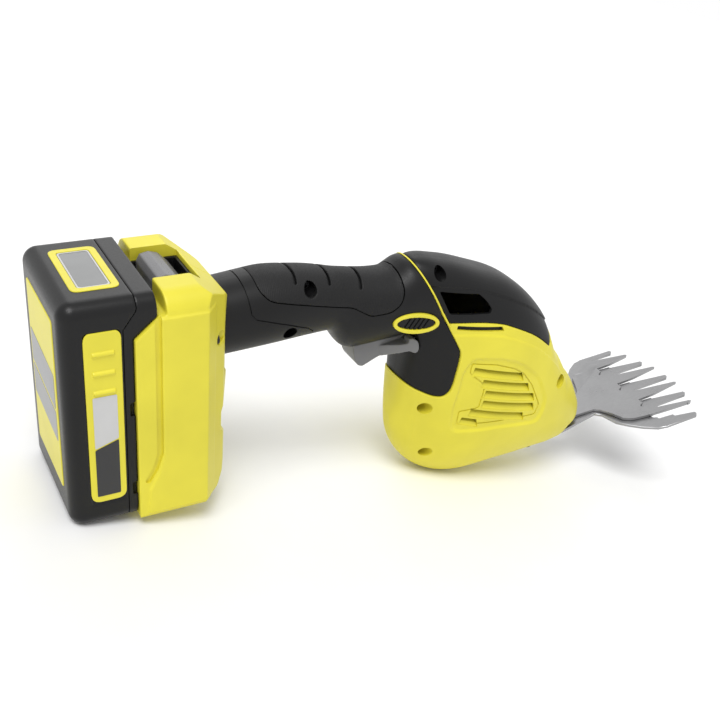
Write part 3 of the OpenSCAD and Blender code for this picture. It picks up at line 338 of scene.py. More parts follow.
# ground steel: fine scratches drawn out along the tool, cloudy gloss
def groundSteel(name, colour, gloss, stretch):
    material, tree, shader, coords = newMaterial(name)
    mapping = newNode(tree, "Mapping", {"Scale": stretch})
    tree.links.new(coords.outputs["Object"], mapping.inputs["Vector"])
    scratch = newNode(tree, "TexNoise", {"Scale": 900, "Detail": 3})
    tree.links.new(mapping.outputs["Vector"], scratch.inputs["Vector"])
    lines = scratch.outputs["Fac"]
    dress(tree, shader, colour, lines, (0.96, 1.04), noise(tree, coords, 60, 3), (gloss - 0.06, gloss + 0.08))
    addBump(tree, shader, lines, 0.07, 0.00005)
    shader.inputs["Metallic"].default_value = 1.0
    return material


# soft grip: dull rubber with fine rings cut round the handle
def softRubber(name, colour, ringScale):
    material, tree, shader, coords = newMaterial(name)
    wave = newNode(tree, "TexWave", {"Scale": ringScale, "Distortion": 0.2})
    wave.wave_type = "BANDS"
    wave.bands_direction = "X"
    tree.links.new(coords.outputs["Object"], wave.inputs["Vector"])
    cloud, grain = noise(tree, coords, 35, 3), noise(tree, coords, 1400, 3)
    dress(tree, shader, colour, cloud, (0.85, 1.15), grain, (0.5, 0.68))
    addBump(tree, shader, wave.outputs["Fac"], 0.3, 0.0002)
    shader.inputs["Specular IOR Level"].default_value = 0.3
    return material


finishes = {
    "yellowShell": mouldedPlastic("yellowShell", (0.74, 0.66, 0.045), 0.42, 1500, 0.00006),
    "blackShell": mouldedPlastic("blackShell", (0.0045, 0.0045, 0.0048), 0.4, 1300, 0.00009, (0.8, 1.2), 0.25),
    "packBlack": mouldedPlastic("packBlack", (0.0035, 0.0035, 0.0038), 0.33, 1300, 0.00008, (0.8, 1.2), 0.3),
    "softGrip": softRubber("softGrip", (0.005, 0.005, 0.0053), 300),
    "triggerGrey": mouldedPlastic("triggerGrey", (0.17, 0.17, 0.175), 0.42, 1500, 0.00006),
    "buttonGrey": mouldedPlastic("buttonGrey", (0.16, 0.16, 0.165), 0.3, 1500, 0.00004),
    "labelYellow": mouldedPlastic("labelYellow", (0.74, 0.66, 0.045), 0.34, 1800, 0.00003),
    "labelPale": mouldedPlastic("labelPale", (0.56, 0.56, 0.56), 0.36, 1800, 0.00003),
    "labelGrey": mouldedPlastic("labelGrey", (0.31, 0.31, 0.32), 0.36, 1800, 0.00003),
    "labelDark": mouldedPlastic("labelDark", (0.03, 0.03, 0.032), 0.36, 1800, 0.00003),
    "displayPane": mouldedPlastic("displayPane", (0.15, 0.155, 0.155), 0.12, 900, 0.00001, (0.8, 1.2), 0.6),
    "boardGreen": mouldedPlastic("boardGreen", (0.02, 0.12, 0.04), 0.35, 900, 0.00005),
    "cellSleeve": mouldedPlastic("cellSleeve", (0.06, 0.17, 0.32), 0.32, 900, 0.00003),
    "bladeSteel": groundSteel("bladeSteel", (0.34, 0.34, 0.345), 0.32, (0.12, 1.0, 1.0)),
    "hardwareSteel": groundSteel("hardwareSteel", (0.58, 0.58, 0.6), 0.32, (1.0, 1.0, 0.2)),
    "blackScrew": groundSteel("blackScrew", (0.04, 0.04, 0.042), 0.42, (1.0, 1.0, 0.2)),
    "brassStrip": groundSteel("brassStrip", (0.72, 0.5, 0.2), 0.3, (0.3, 1.0, 1.0)),
}
slotFinish = {
    "yellow_plastic": "yellowShell", "black_plastic": "blackShell", "pack_plastic": "packBlack",
    "display_plastic": "displayPane", "soft_grip": "softGrip", "grey_plastic": "triggerGrey",
    "label_film": "labelYellow", "blade_steel": "bladeSteel", "hardware_steel": "hardwareSteel",
    "brass": "brassStrip", "board": "boardGreen", "cell_wrap": "cellSleeve",
}


def paint(piece, finish):
    piece.data.materials.clear()
    piece.data.materials.append(finishes[finish])


nodeSlot = {entry["node"]: entry["material_slot"] for entry in frame["record"]["subparts"]}
for nodeName, node in nodes.items():
    paint(node, "blackScrew" if nodeName.endswith("screws") else slotFinish[nodeSlot[nodeName]])
print("materials on the frame")


# hand a finished piece over: smooth, in place, on its body, standing for its nodes
def handOver(piece, space, finish, body, *replaced):
    makeActive(piece)
    bpy.ops.object.shade_smooth_by_angle(angle=math.radians(32))
    piece.data.transform(space)
    paint(piece, finish)
    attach(piece, body)
    if replaced:
        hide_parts(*replaced)
    return piece


# moulded skin: even cells, edges eased, then thinned where it is flat
def mould(piece, cell, easing, kept):
    shapeWith(piece, "REMESH", mode="VOXEL", voxel_size=cell, adaptivity=0)
    shapeWith(piece, "SMOOTH", factor=0.5, iterations=easing)
    shapeWith(piece, "DECIMATE", ratio=kept)
    return piece


# head: side view from the belly arc and crown, plan from two rounded quarters
head = {
    "rear": 215.0, "half": 36.0, "bellyRadius": 54.0, "sole": -9.0, "nose": 374.5, "wide": 289.0,
    "rearFullness": 2.0, "frontFullness": 1.88, "topRound": 2.9, "baseRound": 2.4, "baseRoundGain": 0.5,
    "baseRoundLength": 56.0, "wall": 2.6, "neckInset": 1.0, "points": 96,
    "crown": [(215, 50), (219, 80), (222.5, 110), (224.3, 140), (225.3, 158), (230, 162), (252, 156), (276, 145.5),
              (300, 132.7), (322, 109.5), (336, 77), (342, 69), (346, 59), (355, 47), (365, 28), (374.5, 11)],
    "steps": [0, 1, 2.5, 4.5, 7, 11, 17, 25, 35, 47, 61, 75, 89, 101, 111, 119, 124, 127, 129.5, 133,
              138, 144, 150, 156.5, 159.5],
    "coverEdge": [(236, 124.6), (260, 121.4), (279, 116.2), (292, 109.5), (307, 99.8), (319, 89), (330, 77),
                  (338, 66), (360, 36)],
    "stepParts": 4, "coverStations": (236, 320, 3), "coverEnd": [(321.5, 86.3), (330.0, 104.0), (338.0, 122.0)],
    "coverEndOut": (-0.91, 0.41), "outside": 200, "accentFoot": (251.0, 104.0), "accentLean": 23.0, "accentWidth": 1.1,
    "seam": 0.15, "skirtRound": 5, "noseLift": 6, "noseLiftFrom": 340,
    "skirt": [(80, 86), (212, 86), (219.3, 80.8), (225.5, 76.4), (235, 71.4), (241, 70.6), (245, 74.4),
              (246.8, 80), (250.3, 99)],
}


def belly(x):
    centre = head["rear"] + head["bellyRadius"]
    if x < centre:
        return head["sole"] + head["bellyRadius"] - math.sqrt(max(0, head["bellyRadius"] ** 2 - (centre - x) ** 2))
    share = (x - head["noseLiftFrom"]) / (head["nose"] - head["noseLiftFrom"])
    return head["sole"] + head["noseLift"] * max(0, share) ** 2


def quarter(share, fullness):
    return (1 - share ** fullness) ** (1 / fullness)


def headSide(x):
    if x < head["wide"]:
        return head["half"] * quarter((head["wide"] - x) / (head["wide"] - head["rear"] + 0.3), head["rearFullness"])
    return head["half"] * quarter((x - head["wide"]) / (head["nose"] + 0.5 - head["wide"]), head["frontFullness"])


def headSection(x):
    low = belly(x)
    squarer = min(1, max(0, (x - head["wide"]) / head["baseRoundLength"]))
    return headSide(x), low, curveAt(head["crown"], x), head["baseRound"] + squarer * head["baseRoundGain"]


def headRing(x, inset):
    half, low, high, baseRound = headSection(x)
    half, low, high = half - inset, low + inset, high - inset
    if inset > 0:
        behind, ahead = max(head["rear"], x - inset), min(head["nose"], x + inset)
        half = min(half, headSide(behind), headSide(ahead))
        low = max(low, belly(behind))
        high = min(high, curveAt(head["crown"], behind), curveAt(head["crown"], ahead))
    return ovalRing(x, max(1, half), low, max(low + 2, high), head["topRound"], baseRound, head["points"])


# distance of the head's flank from the middle plane at a point of the side view
def flankAt(x, z):
    half, low, high, baseRound = headSection(x)
    level = (z - (low + high) / 2) / ((high - low) / 2)
    return half * quarter(min(1, abs(level)), head["topRound"] if level > 0 else baseRound)


def headForm(name, inset):
    lead = inset + 1 if inset > 0 else 0
    span = head["nose"] - head["rear"]
    stations = [s for s in divided(head["steps"], head["stepParts"]) if lead <= s <= span - lead]
    return wrapRings(name, [headRing(head["rear"] + s, inset) for s in stations])


def accentAt(u, v):
    lean = math.radians(head["accentLean"])
    return (head["accentFoot"][0] + u * math.cos(lean) - v * math.sin(lean),
            head["accentFoot"][1] + u * math.sin(lean) + v * math.cos(lean))


def edgePoint(x, gap):
    lean = curveAt(head["coverEdge"], x + 0.5) - curveAt(head["coverEdge"], x - 0.5)
    return (x, curveAt(head["coverEdge"], x) + gap * math.hypot(1, lean))


def overCover(gap):
    edge = [edgePoint(x, gap) for x in range(*head["coverStations"])]
    outX, outZ = head["coverEndOut"]
    end = [(x + outX * gap, z + outZ * gap) for x, z in head["coverEnd"]]
    return edge + end + [(end[-1][0], head["outside"]), (head["outside"], head["outside"])]


def skirtOutline(gap, accentGap):
    behind = gap - accentGap
    whole = head["skirt"] + [accentAt(behind, 0), accentAt(behind, 120), (80, 260)]
    return roundCorners(offsetOutline(whole, -gap), head["skirtRound"])


def accentStrip(u0, u1, v0=-200, v1=200):
    return [accentAt(u0, v0), accentAt(u1, v0), accentAt(u1, v1), accentAt(u0, v1)]


print("head outlines ready")


# the same work on both flanks
def bothSides(work, piece, tool):
    work(piece, mirrored(tool, "otherFlank"))
    work(piece, tool)


def halfOf(piece, name, side, gap=0.03):
    half = duplicate(piece, name)
    room = block("halfRoom", (-50, gap if side > 0 else -120, -120), (600, 120 if side > 0 else -gap, 320))
    return crop(half, room)


def handOverHalves(form, stem, finish):
    for side, word in ((-1, "_right"), (1, "_left")):
        nodeName = stem + word
        handOver(halfOf(form, nodeName + "Skin", side), toolSpace, finish, "tool_body", nodeName)
    bpy.data.objects.remove(form)


# a slot with round ends between two points of the side view, cut from the middle outwards
def slotTool(name, first, last, width, low, high):
    tool = rod(name, (first[0], low, first[1]), (first[0], high, first[1]), width / 2, sides=24)
    join(tool, rod("slotEnd", (last[0], low, last[1]), (last[0], high, last[1]), width / 2, sides=24))
    along = (Vector(last) - Vector(first)).normalized() * 0.01
    aside = Vector((-along.y, along.x)).normalized() * width / 2
    bar = [tuple(Vector(first) + aside), tuple(Vector(first) - aside),
           tuple(Vector(last) - aside), tuple(Vector(last) + aside)]
    return join(tool, pullOutline("slotBar", bar, low, high))


# screw recesses open to the right, a little wider at their mouths
screws = {
    "seat": 6.0, "radius": 3.4, "mouth": 5.6, "out": 42.0, "post": 6.2,
    "head": [(230.6, 62), (234.6, 23), (335.2, 54)], "cover": [(241.5, 154)], "grip": [(155, 165.5), (140, 143)],
}


def recessTool(place):
    return rod("recess", (place[0], -screws["seat"], place[1]), (place[0], -screws["out"], place[1]),
               screws["radius"], screws["mouth"])


# posts inside a shell that the screws run through
def addPosts(piece, places, room):
    for place in places:
        post = rod("post", (place[0], -60, place[1]), (place[0], 60, place[1]), screws["post"])
        join(piece, crop(post, room, keep=True))
    bpy.data.objects.remove(room)


# head shells, with louvre panel, blade mouth and seams
shell = {
    "dish": [(259.2, 96.8), (279, 92), (295.4, 84.2), (311.3, 67.9), (320.8, 45.8), (316, 29.5), (282, 37.5),
             (248, 41.5), (247.5, 60), (251, 75), (253, 88)],
    "dishRound": 7.0, "dishDepths": [(1.2, 0.4), (0.5, 0.9), (-0.2, 1.4)],
    "panel": [(258.2, 93.7), (276, 89), (290.5, 82), (298, 76), (306.5, 64), (313, 50), (315.5, 44), (312.5, 36.6),
              (288, 40.8), (250.6, 46.5), (251.4, 57.7), (264.6, 58.5), (267, 69), (267.7, 74), (264.7, 78.3),
              (257, 85.7)],
    "panelRound": 1.5, "grooveWidth": 0.9, "grooveDepth": 2.1,
    "louvreFoot": (284.0, 39.0), "louvreLean": 20.5, "louvrePitch": 7.5,
    "louvreUp": 1.9, "louvreDown": 4.0, "louvreSlant": 1.8, "slitRound": 0.7,
    "louvres": [(-32.4, -19.4), (-29, 17), (-23, 23), (-24.5, 19.3), (-29.7, 10.4), (-39.5, 1.2)],
    "bladeSection": [(-4.7, 1.5), (-1.2, 3.3), (0.8, 6.2), (0.0, 7.0), (-2.0, 4.4), (-4.7, 3.4)], "bladeStations": 12,
    "slot": [(248.2, 120.2), (280.2, 113)], "slotHalf": 1.5, "slotSlant": 0.9,
    "dishSpan": (-60, -18), "grooveCoreSpan": (-61, -17), "slitSpan": (-60, -15),
    "stepDrop": 8.0, "stepDepth": 0.7, "stepStations": (236, 345, 4), "stepFront": 344, "postInset": 1,
    "accentSlot": (-40, 15, 120), "accentEdge": -2,
    "mouthRear": 309.0, "mouthFront": 400.0, "mouthHalf": 21.0, "mouthLow": -6.0, "mouthHigh": 5.0,
}


def hollowHead(name):
    return cut(headForm(name, 0), headForm("headHollow", head["wall"]))


# a slit in the side view with a slanted front end
def slit(first, last, up, down, slant):
    along = (last - first).normalized()
    across = Vector((-along.y, along.x))
    corners = [first + across * up, last + across * up - along * slant,
               last - across * down + along * slant, first - across * down]
    return roundCorners([tuple(corner) for corner in corners], shell["slitRound"])


# ends of a louvre in the side view, and the bent blade behind it that follows the flank
def louvreEnds(row):
    lean = math.radians(shell["louvreLean"])
    along, across = Vector((math.cos(lean), -math.sin(lean))), Vector((math.sin(lean), math.cos(lean)))
    foot = Vector(shell["louvreFoot"]) + across * row * shell["louvrePitch"]
    back, front = shell["louvres"][row]
    return foot + along * back, foot + along * front, along, across


def louvreBlade(row):
    first, last, along, across = louvreEnds(row)
    first, last = first - along, last + along * (shell["louvreSlant"] + 1)
    rings = []
    for k in range(shell["bladeStations"] + 1):
        middle = first + (last - first) * k / shell["bladeStations"]
        points = [(middle + across * up, depth) for up, depth in shell["bladeSection"]]
        rings.append([(point.x, depth - flankAt(*point), point.y) for point, depth in points])
    return wrapRings("louvreBlade", rings)


shellForm = hollowHead("shellForm")
addPosts(shellForm, screws["head"], headForm("postRoom", shell["postInset"]))
cut(shellForm, pullThrough("coverRoom", overCover(-head["seam"])))
cut(shellForm, pullThrough("skirtRoom", skirtOutline(-head["seam"], head["accentWidth"] / 2)))
accentFront = head["accentWidth"] / 2 + head["seam"]
slotRear, slotLow, slotHigh = shell["accentSlot"]
accentRoom = pullThrough("accentRoom", accentStrip(slotRear, accentFront, slotLow, slotHigh))
cut(shellForm, crop(accentRoom, pullThrough("aboveEdge", overCover(shell["accentEdge"]), 1)))
stepStations = range(*shell["stepStations"])
stepOutline = [(x, curveAt(head["coverEdge"], x) - shell["stepDrop"]) for x in stepStations]
stepOutline += [(shell["stepFront"], head["outside"]), (stepStations[0], head["outside"])]
stepTool = pullThrough("stepTool", stepOutline)
cut(shellForm, cut(stepTool, headForm("stepFloor", shell["stepDepth"])))
for widening, depth in shell["dishDepths"]:
    dishOutline = roundCorners(offsetOutline(shell["dish"], widening), shell["dishRound"])
    dishTool = pullOutline("dishTool", dishOutline, *shell["dishSpan"])
    bothSides(cut, shellForm, cut(dishTool, headForm("dishFloor", depth)))
mould(shellForm, cell=0.55, easing=4, kept=0.3)
grooveInner = offsetOutline(shell["panel"], -shell["grooveWidth"])
grooveOuter = roundCorners(shell["panel"], shell["panelRound"])
grooveTool = pullOutline("grooveTool", grooveOuter, *shell["dishSpan"])
grooveCore = roundCorners(grooveInner, shell["panelRound"])
cut(grooveTool, pullOutline("grooveCore", grooveCore, *shell["grooveCoreSpan"]))
cut(grooveTool, headForm("grooveFloor", shell["grooveDepth"]))
rows = range(len(shell["louvres"]))
for row in rows:
    opening = slit(*louvreEnds(row)[:2], shell["louvreUp"], shell["louvreDown"], shell["louvreSlant"])
    join(grooveTool, pullOutline("louvre", opening, *shell["slitSpan"]))
slotEnds = [Vector(point) for point in shell["slot"]]
sideSlit = slit(*slotEnds, shell["slotHalf"], shell["slotHalf"], shell["slotSlant"])
bothSides(cut, shellForm, join(grooveTool, pullOutline("sideSlot", sideSlit, *shell["slitSpan"])))
bothSides(join, shellForm, join(*[louvreBlade(row) for row in rows]))
mouth = block("bladeMouth", (shell["mouthRear"], -shell["mouthHalf"], shell["mouthLow"]),
              (shell["mouthFront"], shell["mouthHalf"], shell["mouthHigh"]))
cut(shellForm, join(mouth, *[recessTool(place) for place in screws["head"]]))
handOverHalves(shellForm, "head_shell", "yellowShell")
print("head shells done")

# top covers, with the crease over their flanks and the open window
cover = {
    "crease": [(225, 150), (253, 144.5), (270, 138.3), (289, 128.6), (308, 116.2), (340, 84), (360, 60)],
    # the next keys size the black sheets of painted shade behind the window
    "bandDepth": 0.9, "shadeSheetDrop": 26.0, "shadeSheetRise": 5.0, "shadeSheetSpan": (243, 318), "tongueSkin": (2.8, 4.4),
    "shadeSheetRoot": 0.6, "windowRound": 1.5,
    "window": [(239, 144.4), (265.5, 137.8), (270, 133), (273, 127.3), (271.5, 125), (244, 129.6)],
}


# a black sheet of the cover hangs inside the yellow shell as painted shade: it stands in for the shade seen through
# the window
def shadeSheetLayer(outer, drop):
    low, high = cover["shadeSheetSpan"]
    edge = [(x, curveAt(head["coverEdge"], x)) for x in range(low, high + 1, 5)]
    outline = [(x, z - drop) for x, z in edge] + [(x, z + cover["shadeSheetRise"]) for x, z in reversed(edge)]
    layer = cut(headForm("tongue", outer), headForm("tongueInside", cover["tongueSkin"][1]))
    return crop(layer, pullThrough("tonguePart", outline))


coverForm = hollowHead("coverForm")
addPosts(coverForm, screws["cover"], headForm("postRoom", shell["postInset"]))
crop(coverForm, pullThrough("coverPart", overCover(head["seam"])))
crop(coverForm, pullThrough("coverFrontPart", accentStrip(accentFront, 200), 1))
# two black sheets inside the shell: painted shade behind the window
join(coverForm, shadeSheetLayer(cover["tongueSkin"][0] - cover["shadeSheetRoot"], -cover["shadeSheetRoot"]))
join(coverForm, shadeSheetLayer(cover["tongueSkin"][0], cover["shadeSheetDrop"]))
creaseStart, creaseEnd = cover["crease"][0][0], cover["crease"][-1][0]
bandOutline = [(x, curveAt(cover["crease"], x)) for x in range(creaseStart, creaseEnd + 1, 5)]
bandOutline += [(creaseEnd, 0), (creaseStart, 0)]
bandTool = pullThrough("bandTool", bandOutline)
cut(coverForm, cut(bandTool, headForm("bandFloor", cover["bandDepth"])))
mould(coverForm, cell=0.55, easing=3, kept=0.3)
windowTool = pullThrough("windowTool", roundCorners(cover["window"], cover["windowRound"]))
cut(coverForm, join(windowTool, *[recessTool(place) for place in screws["cover"]]))
handOverHalves(coverForm, "top_cover", "blackShell")
print("top covers done")

# grip: a palm swell behind, the trigger housing ahead, and a flare into the head
grip = {
    "start": 97.0, "end": 247.0, "round": 2.15, "wall": 2.6, "points": 96, "step": 2.0,
    "low": [(97, 133.5), (130, 132), (155, 131), (169, 130), (179.5, 115), (186, 112.6), (205, 112.8), (247, 112)],
    "high": [(97, 177), (130, 177.3), (155, 173), (182, 165), (205, 159), (213, 158), (225, 162.5), (247, 157)],
    "side": [(97, 22), (130, 22.5), (155, 21), (180, 19.5), (200, 21), (216, 22), (230, 22.8), (247, 25.2)],
    "ringSeam": 117.0, "ringFoot": 162.0, "seamWidth": 0.7, "seamDepth": 0.8, "seamSpan": (-60, -12),
    "blendCell": 1.0, "blendEasing": 18, "overrun": 2,
    "panelSeam": [(117, 162), (119.7, 158.6), (124.7, 156.5), (137.9, 150.4), (151.5, 143.2), (155.4, 138.8)],
}
pad = {
    "thick": 1.6, "gap": 0.4, "round": 3, "bedSlip": 0.1, "postSlip": 0.4,
    "outline": [(124.5, 200), (124.5, 172), (128.7, 167), (132, 165.3), (165, 153.7), (181, 148), (192, 140),
                (205, 139.5), (212, 143), (215.5, 149), (216.5, 158), (216.5, 200)],
    "grooves": [144.3, 168.5, 192.5], "grooveLean": 27.0, "grooveWidth": 2.0, "grooveHalf": 14.0,
    "grooveLevel": 165, "grooveReach": 30,
}


def gripForm(name, inset, overrun=0):
    start, end = grip["start"] - overrun, grip["end"] + overrun
    count = round((end - start) / grip["step"])
    rings = []
    for k in range(count + 1):
        x = start + (end - start) * k / count
        rings.append(ovalRing(x, curveAt(grip["side"], x) - inset, curveAt(grip["low"], x) + inset,
                              curveAt(grip["high"], x) - inset, grip["round"], grip["round"], grip["points"]))
    return wrapRings(name, rings)


def padRoom(name, gap):
    return pullThrough(name, roundCorners(offsetOutline(pad["outline"], gap), pad["round"]))


trigger = {
    "half": 9.0, "slip": 0.4, "gap": 1.0, "pivot": (228.0, 111.0), "pinHole": 2.05, "round": 3.5, "earRound": 2.5,
    "room": [(185, 118), (221, 116), (221, 126), (185, 126)], "rootLow": (207, 102), "rootHigh": (221, 118.5),
    "pocketLow": (193, -7, 107), "pocketHigh": (206, 7, 122), "earSpan": (-40, 40), "planSpan": (90, 130),
    "outline": [(186, 121), (186, 110), (187, 104), (189, 100.2), (192, 98.8), (202, 102.4), (216, 105.6), (228, 102),
                (233, 101), (236, 103), (236.5, 108), (235, 113), (229, 117), (212, 118.5), (206, 121)],
    "ears": [(203, 111), (203, 103), (214, 105.6), (220.5, 106.6), (223, 104.6), (225.6, 105), (226.5, 108.5),
             (225.5, 113), (222, 115.5), (219.5, 115.5), (219.5, 112)],
    "earPlan": [(201, -8), (214, -16), (222, -19), (236, -21), (236, 21), (222, 19), (214, 16), (201, 8)],
    "webRear": 219.2, "webFront": 260, "webIn": 9.2, "webOut": 11.6, "webSlip": 0.4,
}
lock = {
    "place": (221.5, -20.9, 128.6), "lean": 12.5, "turn": -5.0, "length": 31.5, "height": 13.5, "rim": 2.5,
    "ribs": 5, "ribPitch": 3.2, "ribSlant": 25.0, "ribLow": (-0.55, -2.6, -9), "ribHigh": (0.55, -1.2, 9), "slip": 0.4,
    "bezelSpan": (-2, 3), "bezelHoleSpan": (-4, 6), "buttonSpan": (-4.5, 2.2), "footSpan": (-6, -4.4),
    "footShorter": 4, "footLower": 3.5, "shellHoleSpan": (-12, 18), "shellHoleSlip": 0.3,
}
lockSpace = (Matrix.Translation(lock["place"]) @ Matrix.Rotation(math.radians(lock["lean"]), 4, "Y")
             @ Matrix.Rotation(math.radians(lock["turn"]), 4, "Z"))


def eye(length, height, steps=48):
    angles = [2 * math.pi * k / steps for k in range(steps)]
    return [(length / 2 * math.cos(angle), height / 2 * math.sin(angle)) for angle in angles]


# a pulled eye in the lock's own place: outwards is -Y there
def lockSolid(name, length, height, low, high):
    piece = pullOutline(name, eye(length, height), -high, -low)
    piece.data.transform(lockSpace)
    return piece


handleForm = join(gripForm("handleForm", 0), headForm("neck", head["neckInset"]))
shapeWith(handleForm, "REMESH", mode="VOXEL", voxel_size=grip["blendCell"])
shapeWith(handleForm, "SMOOTH", factor=0.5, iterations=grip["blendEasing"])
cut(handleForm, gripForm("gripHollow", grip["wall"] + pad["thick"], grip["overrun"]))
cut(handleForm, headForm("neckHollow", head["neckInset"] + grip["wall"]))
crop(handleForm, pullThrough("skirtPart", skirtOutline(head["seam"], accentFront)))
mould(handleForm, cell=0.5, easing=3, kept=0.3)
padBed = padRoom("padBed", pad["gap"])
cut(padBed, gripForm("padFloor", pad["thick"] + pad["bedSlip"]))
seamHalf = grip["seamWidth"] / 2
ringTool = block("ringTool", (grip["ringSeam"] - seamHalf, -through, grip["ringFoot"]),
                 (grip["ringSeam"] + seamHalf, through, head["outside"]))
cut(ringTool, gripForm("ringFloor", grip["seamDepth"]))
slotHalf = trigger["half"] + trigger["slip"]
leverSlot = pullOutline("leverSlot", offsetOutline(trigger["outline"], trigger["gap"]), -slotHalf, slotHalf)
leverRoom = pullOutline("leverRoom", trigger["room"], -slotHalf, slotHalf)
(rootRear, rootLow), (rootFront, rootHigh) = trigger["rootLow"], trigger["rootHigh"]
earRoot = block("earRoot", (rootRear, -trigger["webOut"], rootLow), (rootFront, trigger["webOut"], rootHigh))
cut(handleForm, join(padBed, ringTool, leverSlot, leverRoom, earRoot))
ends = list(zip(grip["panelSeam"], grip["panelSeam"][1:]))
seamTool = join(*[slotTool("seamPart", *pair, grip["seamWidth"], *grip["seamSpan"]) for pair in ends])
cut(seamTool, gripForm("seamFloor", grip["seamDepth"]))
earRoom = offsetOutline(trigger["ears"], trigger["gap"])
earSlot = pullOutline("earSlot", earRoom, trigger["earSpan"][0], -trigger["webOut"])
holeLength, holeHeight = lock["length"] + lock["shellHoleSlip"], lock["height"] + lock["shellHoleSlip"]
lockHole = lockSolid("lockHole", holeLength, holeHeight, *lock["shellHoleSpan"])
bothSides(cut, handleForm, join(seamTool, earSlot, lockHole))
addPosts(handleForm, screws["grip"], gripForm("postRoom", pad["thick"] + pad["postSlip"]))
cut(handleForm, join(*[recessTool(place) for place in screws["grip"]]))
handOverHalves(handleForm, "handle", "blackShell")
print("handle done")

padForm = cut(gripForm("gripPadSkin", 0), gripForm("padInside", pad["thick"], grip["overrun"]))
crop(padForm, padRoom("padPart", 0))
for place in pad["grooves"]:
    groove = block("groove", (-pad["grooveWidth"] / 2, -pad["grooveHalf"], -pad["grooveReach"]),
                   (pad["grooveWidth"] / 2, pad["grooveHalf"], pad["grooveReach"]))
    grooveTurn = Matrix.Rotation(math.radians(pad["grooveLean"]), 4, "Y")
    groove.data.transform(Matrix.Translation((place, 0, pad["grooveLevel"])) @ grooveTurn)
    cut(padForm, groove)
cut(padForm, recessTool(screws["grip"][0]))
mould(padForm, cell=0.45, easing=3, kept=0.35)
handOver(padForm, toolSpace, "softGrip", "tool_body", "grip_pad")
print("grip pad done")

# yellow accent band between neck and cover
accent = {"proud": 0.25, "hollow": 2, "edge": -1.8}
accentForm = join(headForm("accentBandSkin", -accent["proud"]), gripForm("accentGrip", -accent["proud"]))
cut(accentForm, headForm("accentHollow", accent["hollow"]))
cut(accentForm, gripForm("accentGripHollow", accent["hollow"], grip["overrun"]))
crop(accentForm, pullThrough("accentPart", accentStrip(-head["accentWidth"] / 2, head["accentWidth"] / 2)))
crop(accentForm, pullThrough("accentAbove", overCover(accent["edge"]), 1))
mould(accentForm, cell=0.3, easing=2, kept=0.35)
handOver(accentForm, toolSpace, "yellowShell", "tool_body", "accent_band")
print("accent band done")

# lock buttons: a rounded yellow rim and a ribbed black button
for side, word in ((-1, "right"), (1, "left")):
    bezel = lockSolid("lock_bezel_" + word + "Skin", lock["length"], lock["height"], *lock["bezelSpan"])
    innerLength, innerHeight = lock["length"] - 2 * lock["rim"], lock["height"] - 2 * lock["rim"]
    cut(bezel, lockSolid("bezelHole", innerLength, innerHeight, *lock["bezelHoleSpan"]))
    mould(bezel, cell=0.3, easing=6, kept=0.4)
    buttonLength, buttonHeight = innerLength - 2 * lock["slip"], innerHeight - 2 * lock["slip"]
    button = lockSolid("lock_button_" + word + "Skin", buttonLength, buttonHeight, *lock["buttonSpan"])
    for k in range(lock["ribs"]):
        rib = block("ribGap", lock["ribLow"], lock["ribHigh"])
        turn = Matrix.Rotation(math.radians(lock["ribSlant"]), 4, "Y")
        shift = Matrix.Translation(((k - (lock["ribs"] - 1) / 2) * lock["ribPitch"], 0, 0))
        rib.data.transform(lockSpace @ shift @ turn)
        cut(button, rib)
    footLength, footHeight = lock["length"] - lock["footShorter"], lock["height"] - lock["footLower"]
    join(button, lockSolid("buttonFoot", footLength, footHeight, *lock["footSpan"]))
    mould(button, cell=0.25, easing=2, kept=0.3)
    if side > 0:
        bezel, button = [mirrored(part, part.name + "Mirror") for part in (bezel, button)]
        for name in ("lock_bezel_leftSkin", "lock_button_leftSkin"):
            bpy.data.objects.remove(bpy.data.objects[name])
    handOver(bezel, toolSpace, "yellowShell", "tool_body", "lock_bezel_" + word)
    handOver(button, toolSpace, "blackShell", "lock_" + word, "lock_button_" + word)
print("lock buttons done")

# trigger lever with its hook on the neck
leverOutline = roundCorners(trigger["outline"], trigger["round"])
lever = pullOutline("triggerSkin", leverOutline, -trigger["half"], trigger["half"])
earForm = pullOutline("ears", roundCorners(trigger["ears"], trigger["earRound"]), *trigger["earSpan"])
planLow, planHigh = trigger["planSpan"]
join(lever, crop(earForm, pullPlan("earPlan", trigger["earPlan"], planLow, planHigh)))
webGap = block("webGap", (trigger["webRear"], -trigger["webOut"] - trigger["webSlip"], planLow),
               (trigger["webFront"], -trigger["webIn"], planHigh))
bothSides(cut, lever, webGap)
pivotX, pivotZ = trigger["pivot"]
pinEnds = [(pivotX, y, pivotZ) for y in (-trigger["webOut"], trigger["webOut"])]
cut(lever, rod("pinHole", *pinEnds, trigger["pinHole"]))
cut(lever, block("springPocket", trigger["pocketLow"], trigger["pocketHigh"]))
mould(lever, cell=0.4, easing=8, kept=0.35)
handOver(lever, toolSpace, "triggerGrey", "trigger_lever", "trigger")
print("trigger done")


# flat faces that lie in one plane merged again
def mergeFaces(piece):
    editAll(piece)
    bpy.ops.mesh.remove_doubles(threshold=0.01)
    bpy.ops.mesh.dissolve_limited(angle_limit=math.radians(0.2))
    finishEdit()
    return piece


# a copy of a CAD node, merged and free of the frame, in the drawing's millimetres
def cadCopy(nodeName, space):
    node = nodes[nodeName]
    piece = duplicate(node, nodeName + "Skin")
    place = node.matrix_world.copy()
    piece.parent = None
    for key in list(piece.keys()):
        del piece[key]
    piece.matrix_world = Matrix()
    piece.data.transform(space.inverted() @ place)
    return mergeFaces(piece)


# a piece made broader about the middle plane, its core kept
def broaden(piece, core, factor):
    for vertex in piece.data.vertices:
        beyond = abs(vertex.co.y) - core
        if beyond > 0:
            vertex.co.y = math.copysign(core + beyond * factor, vertex.co.y)
    return piece


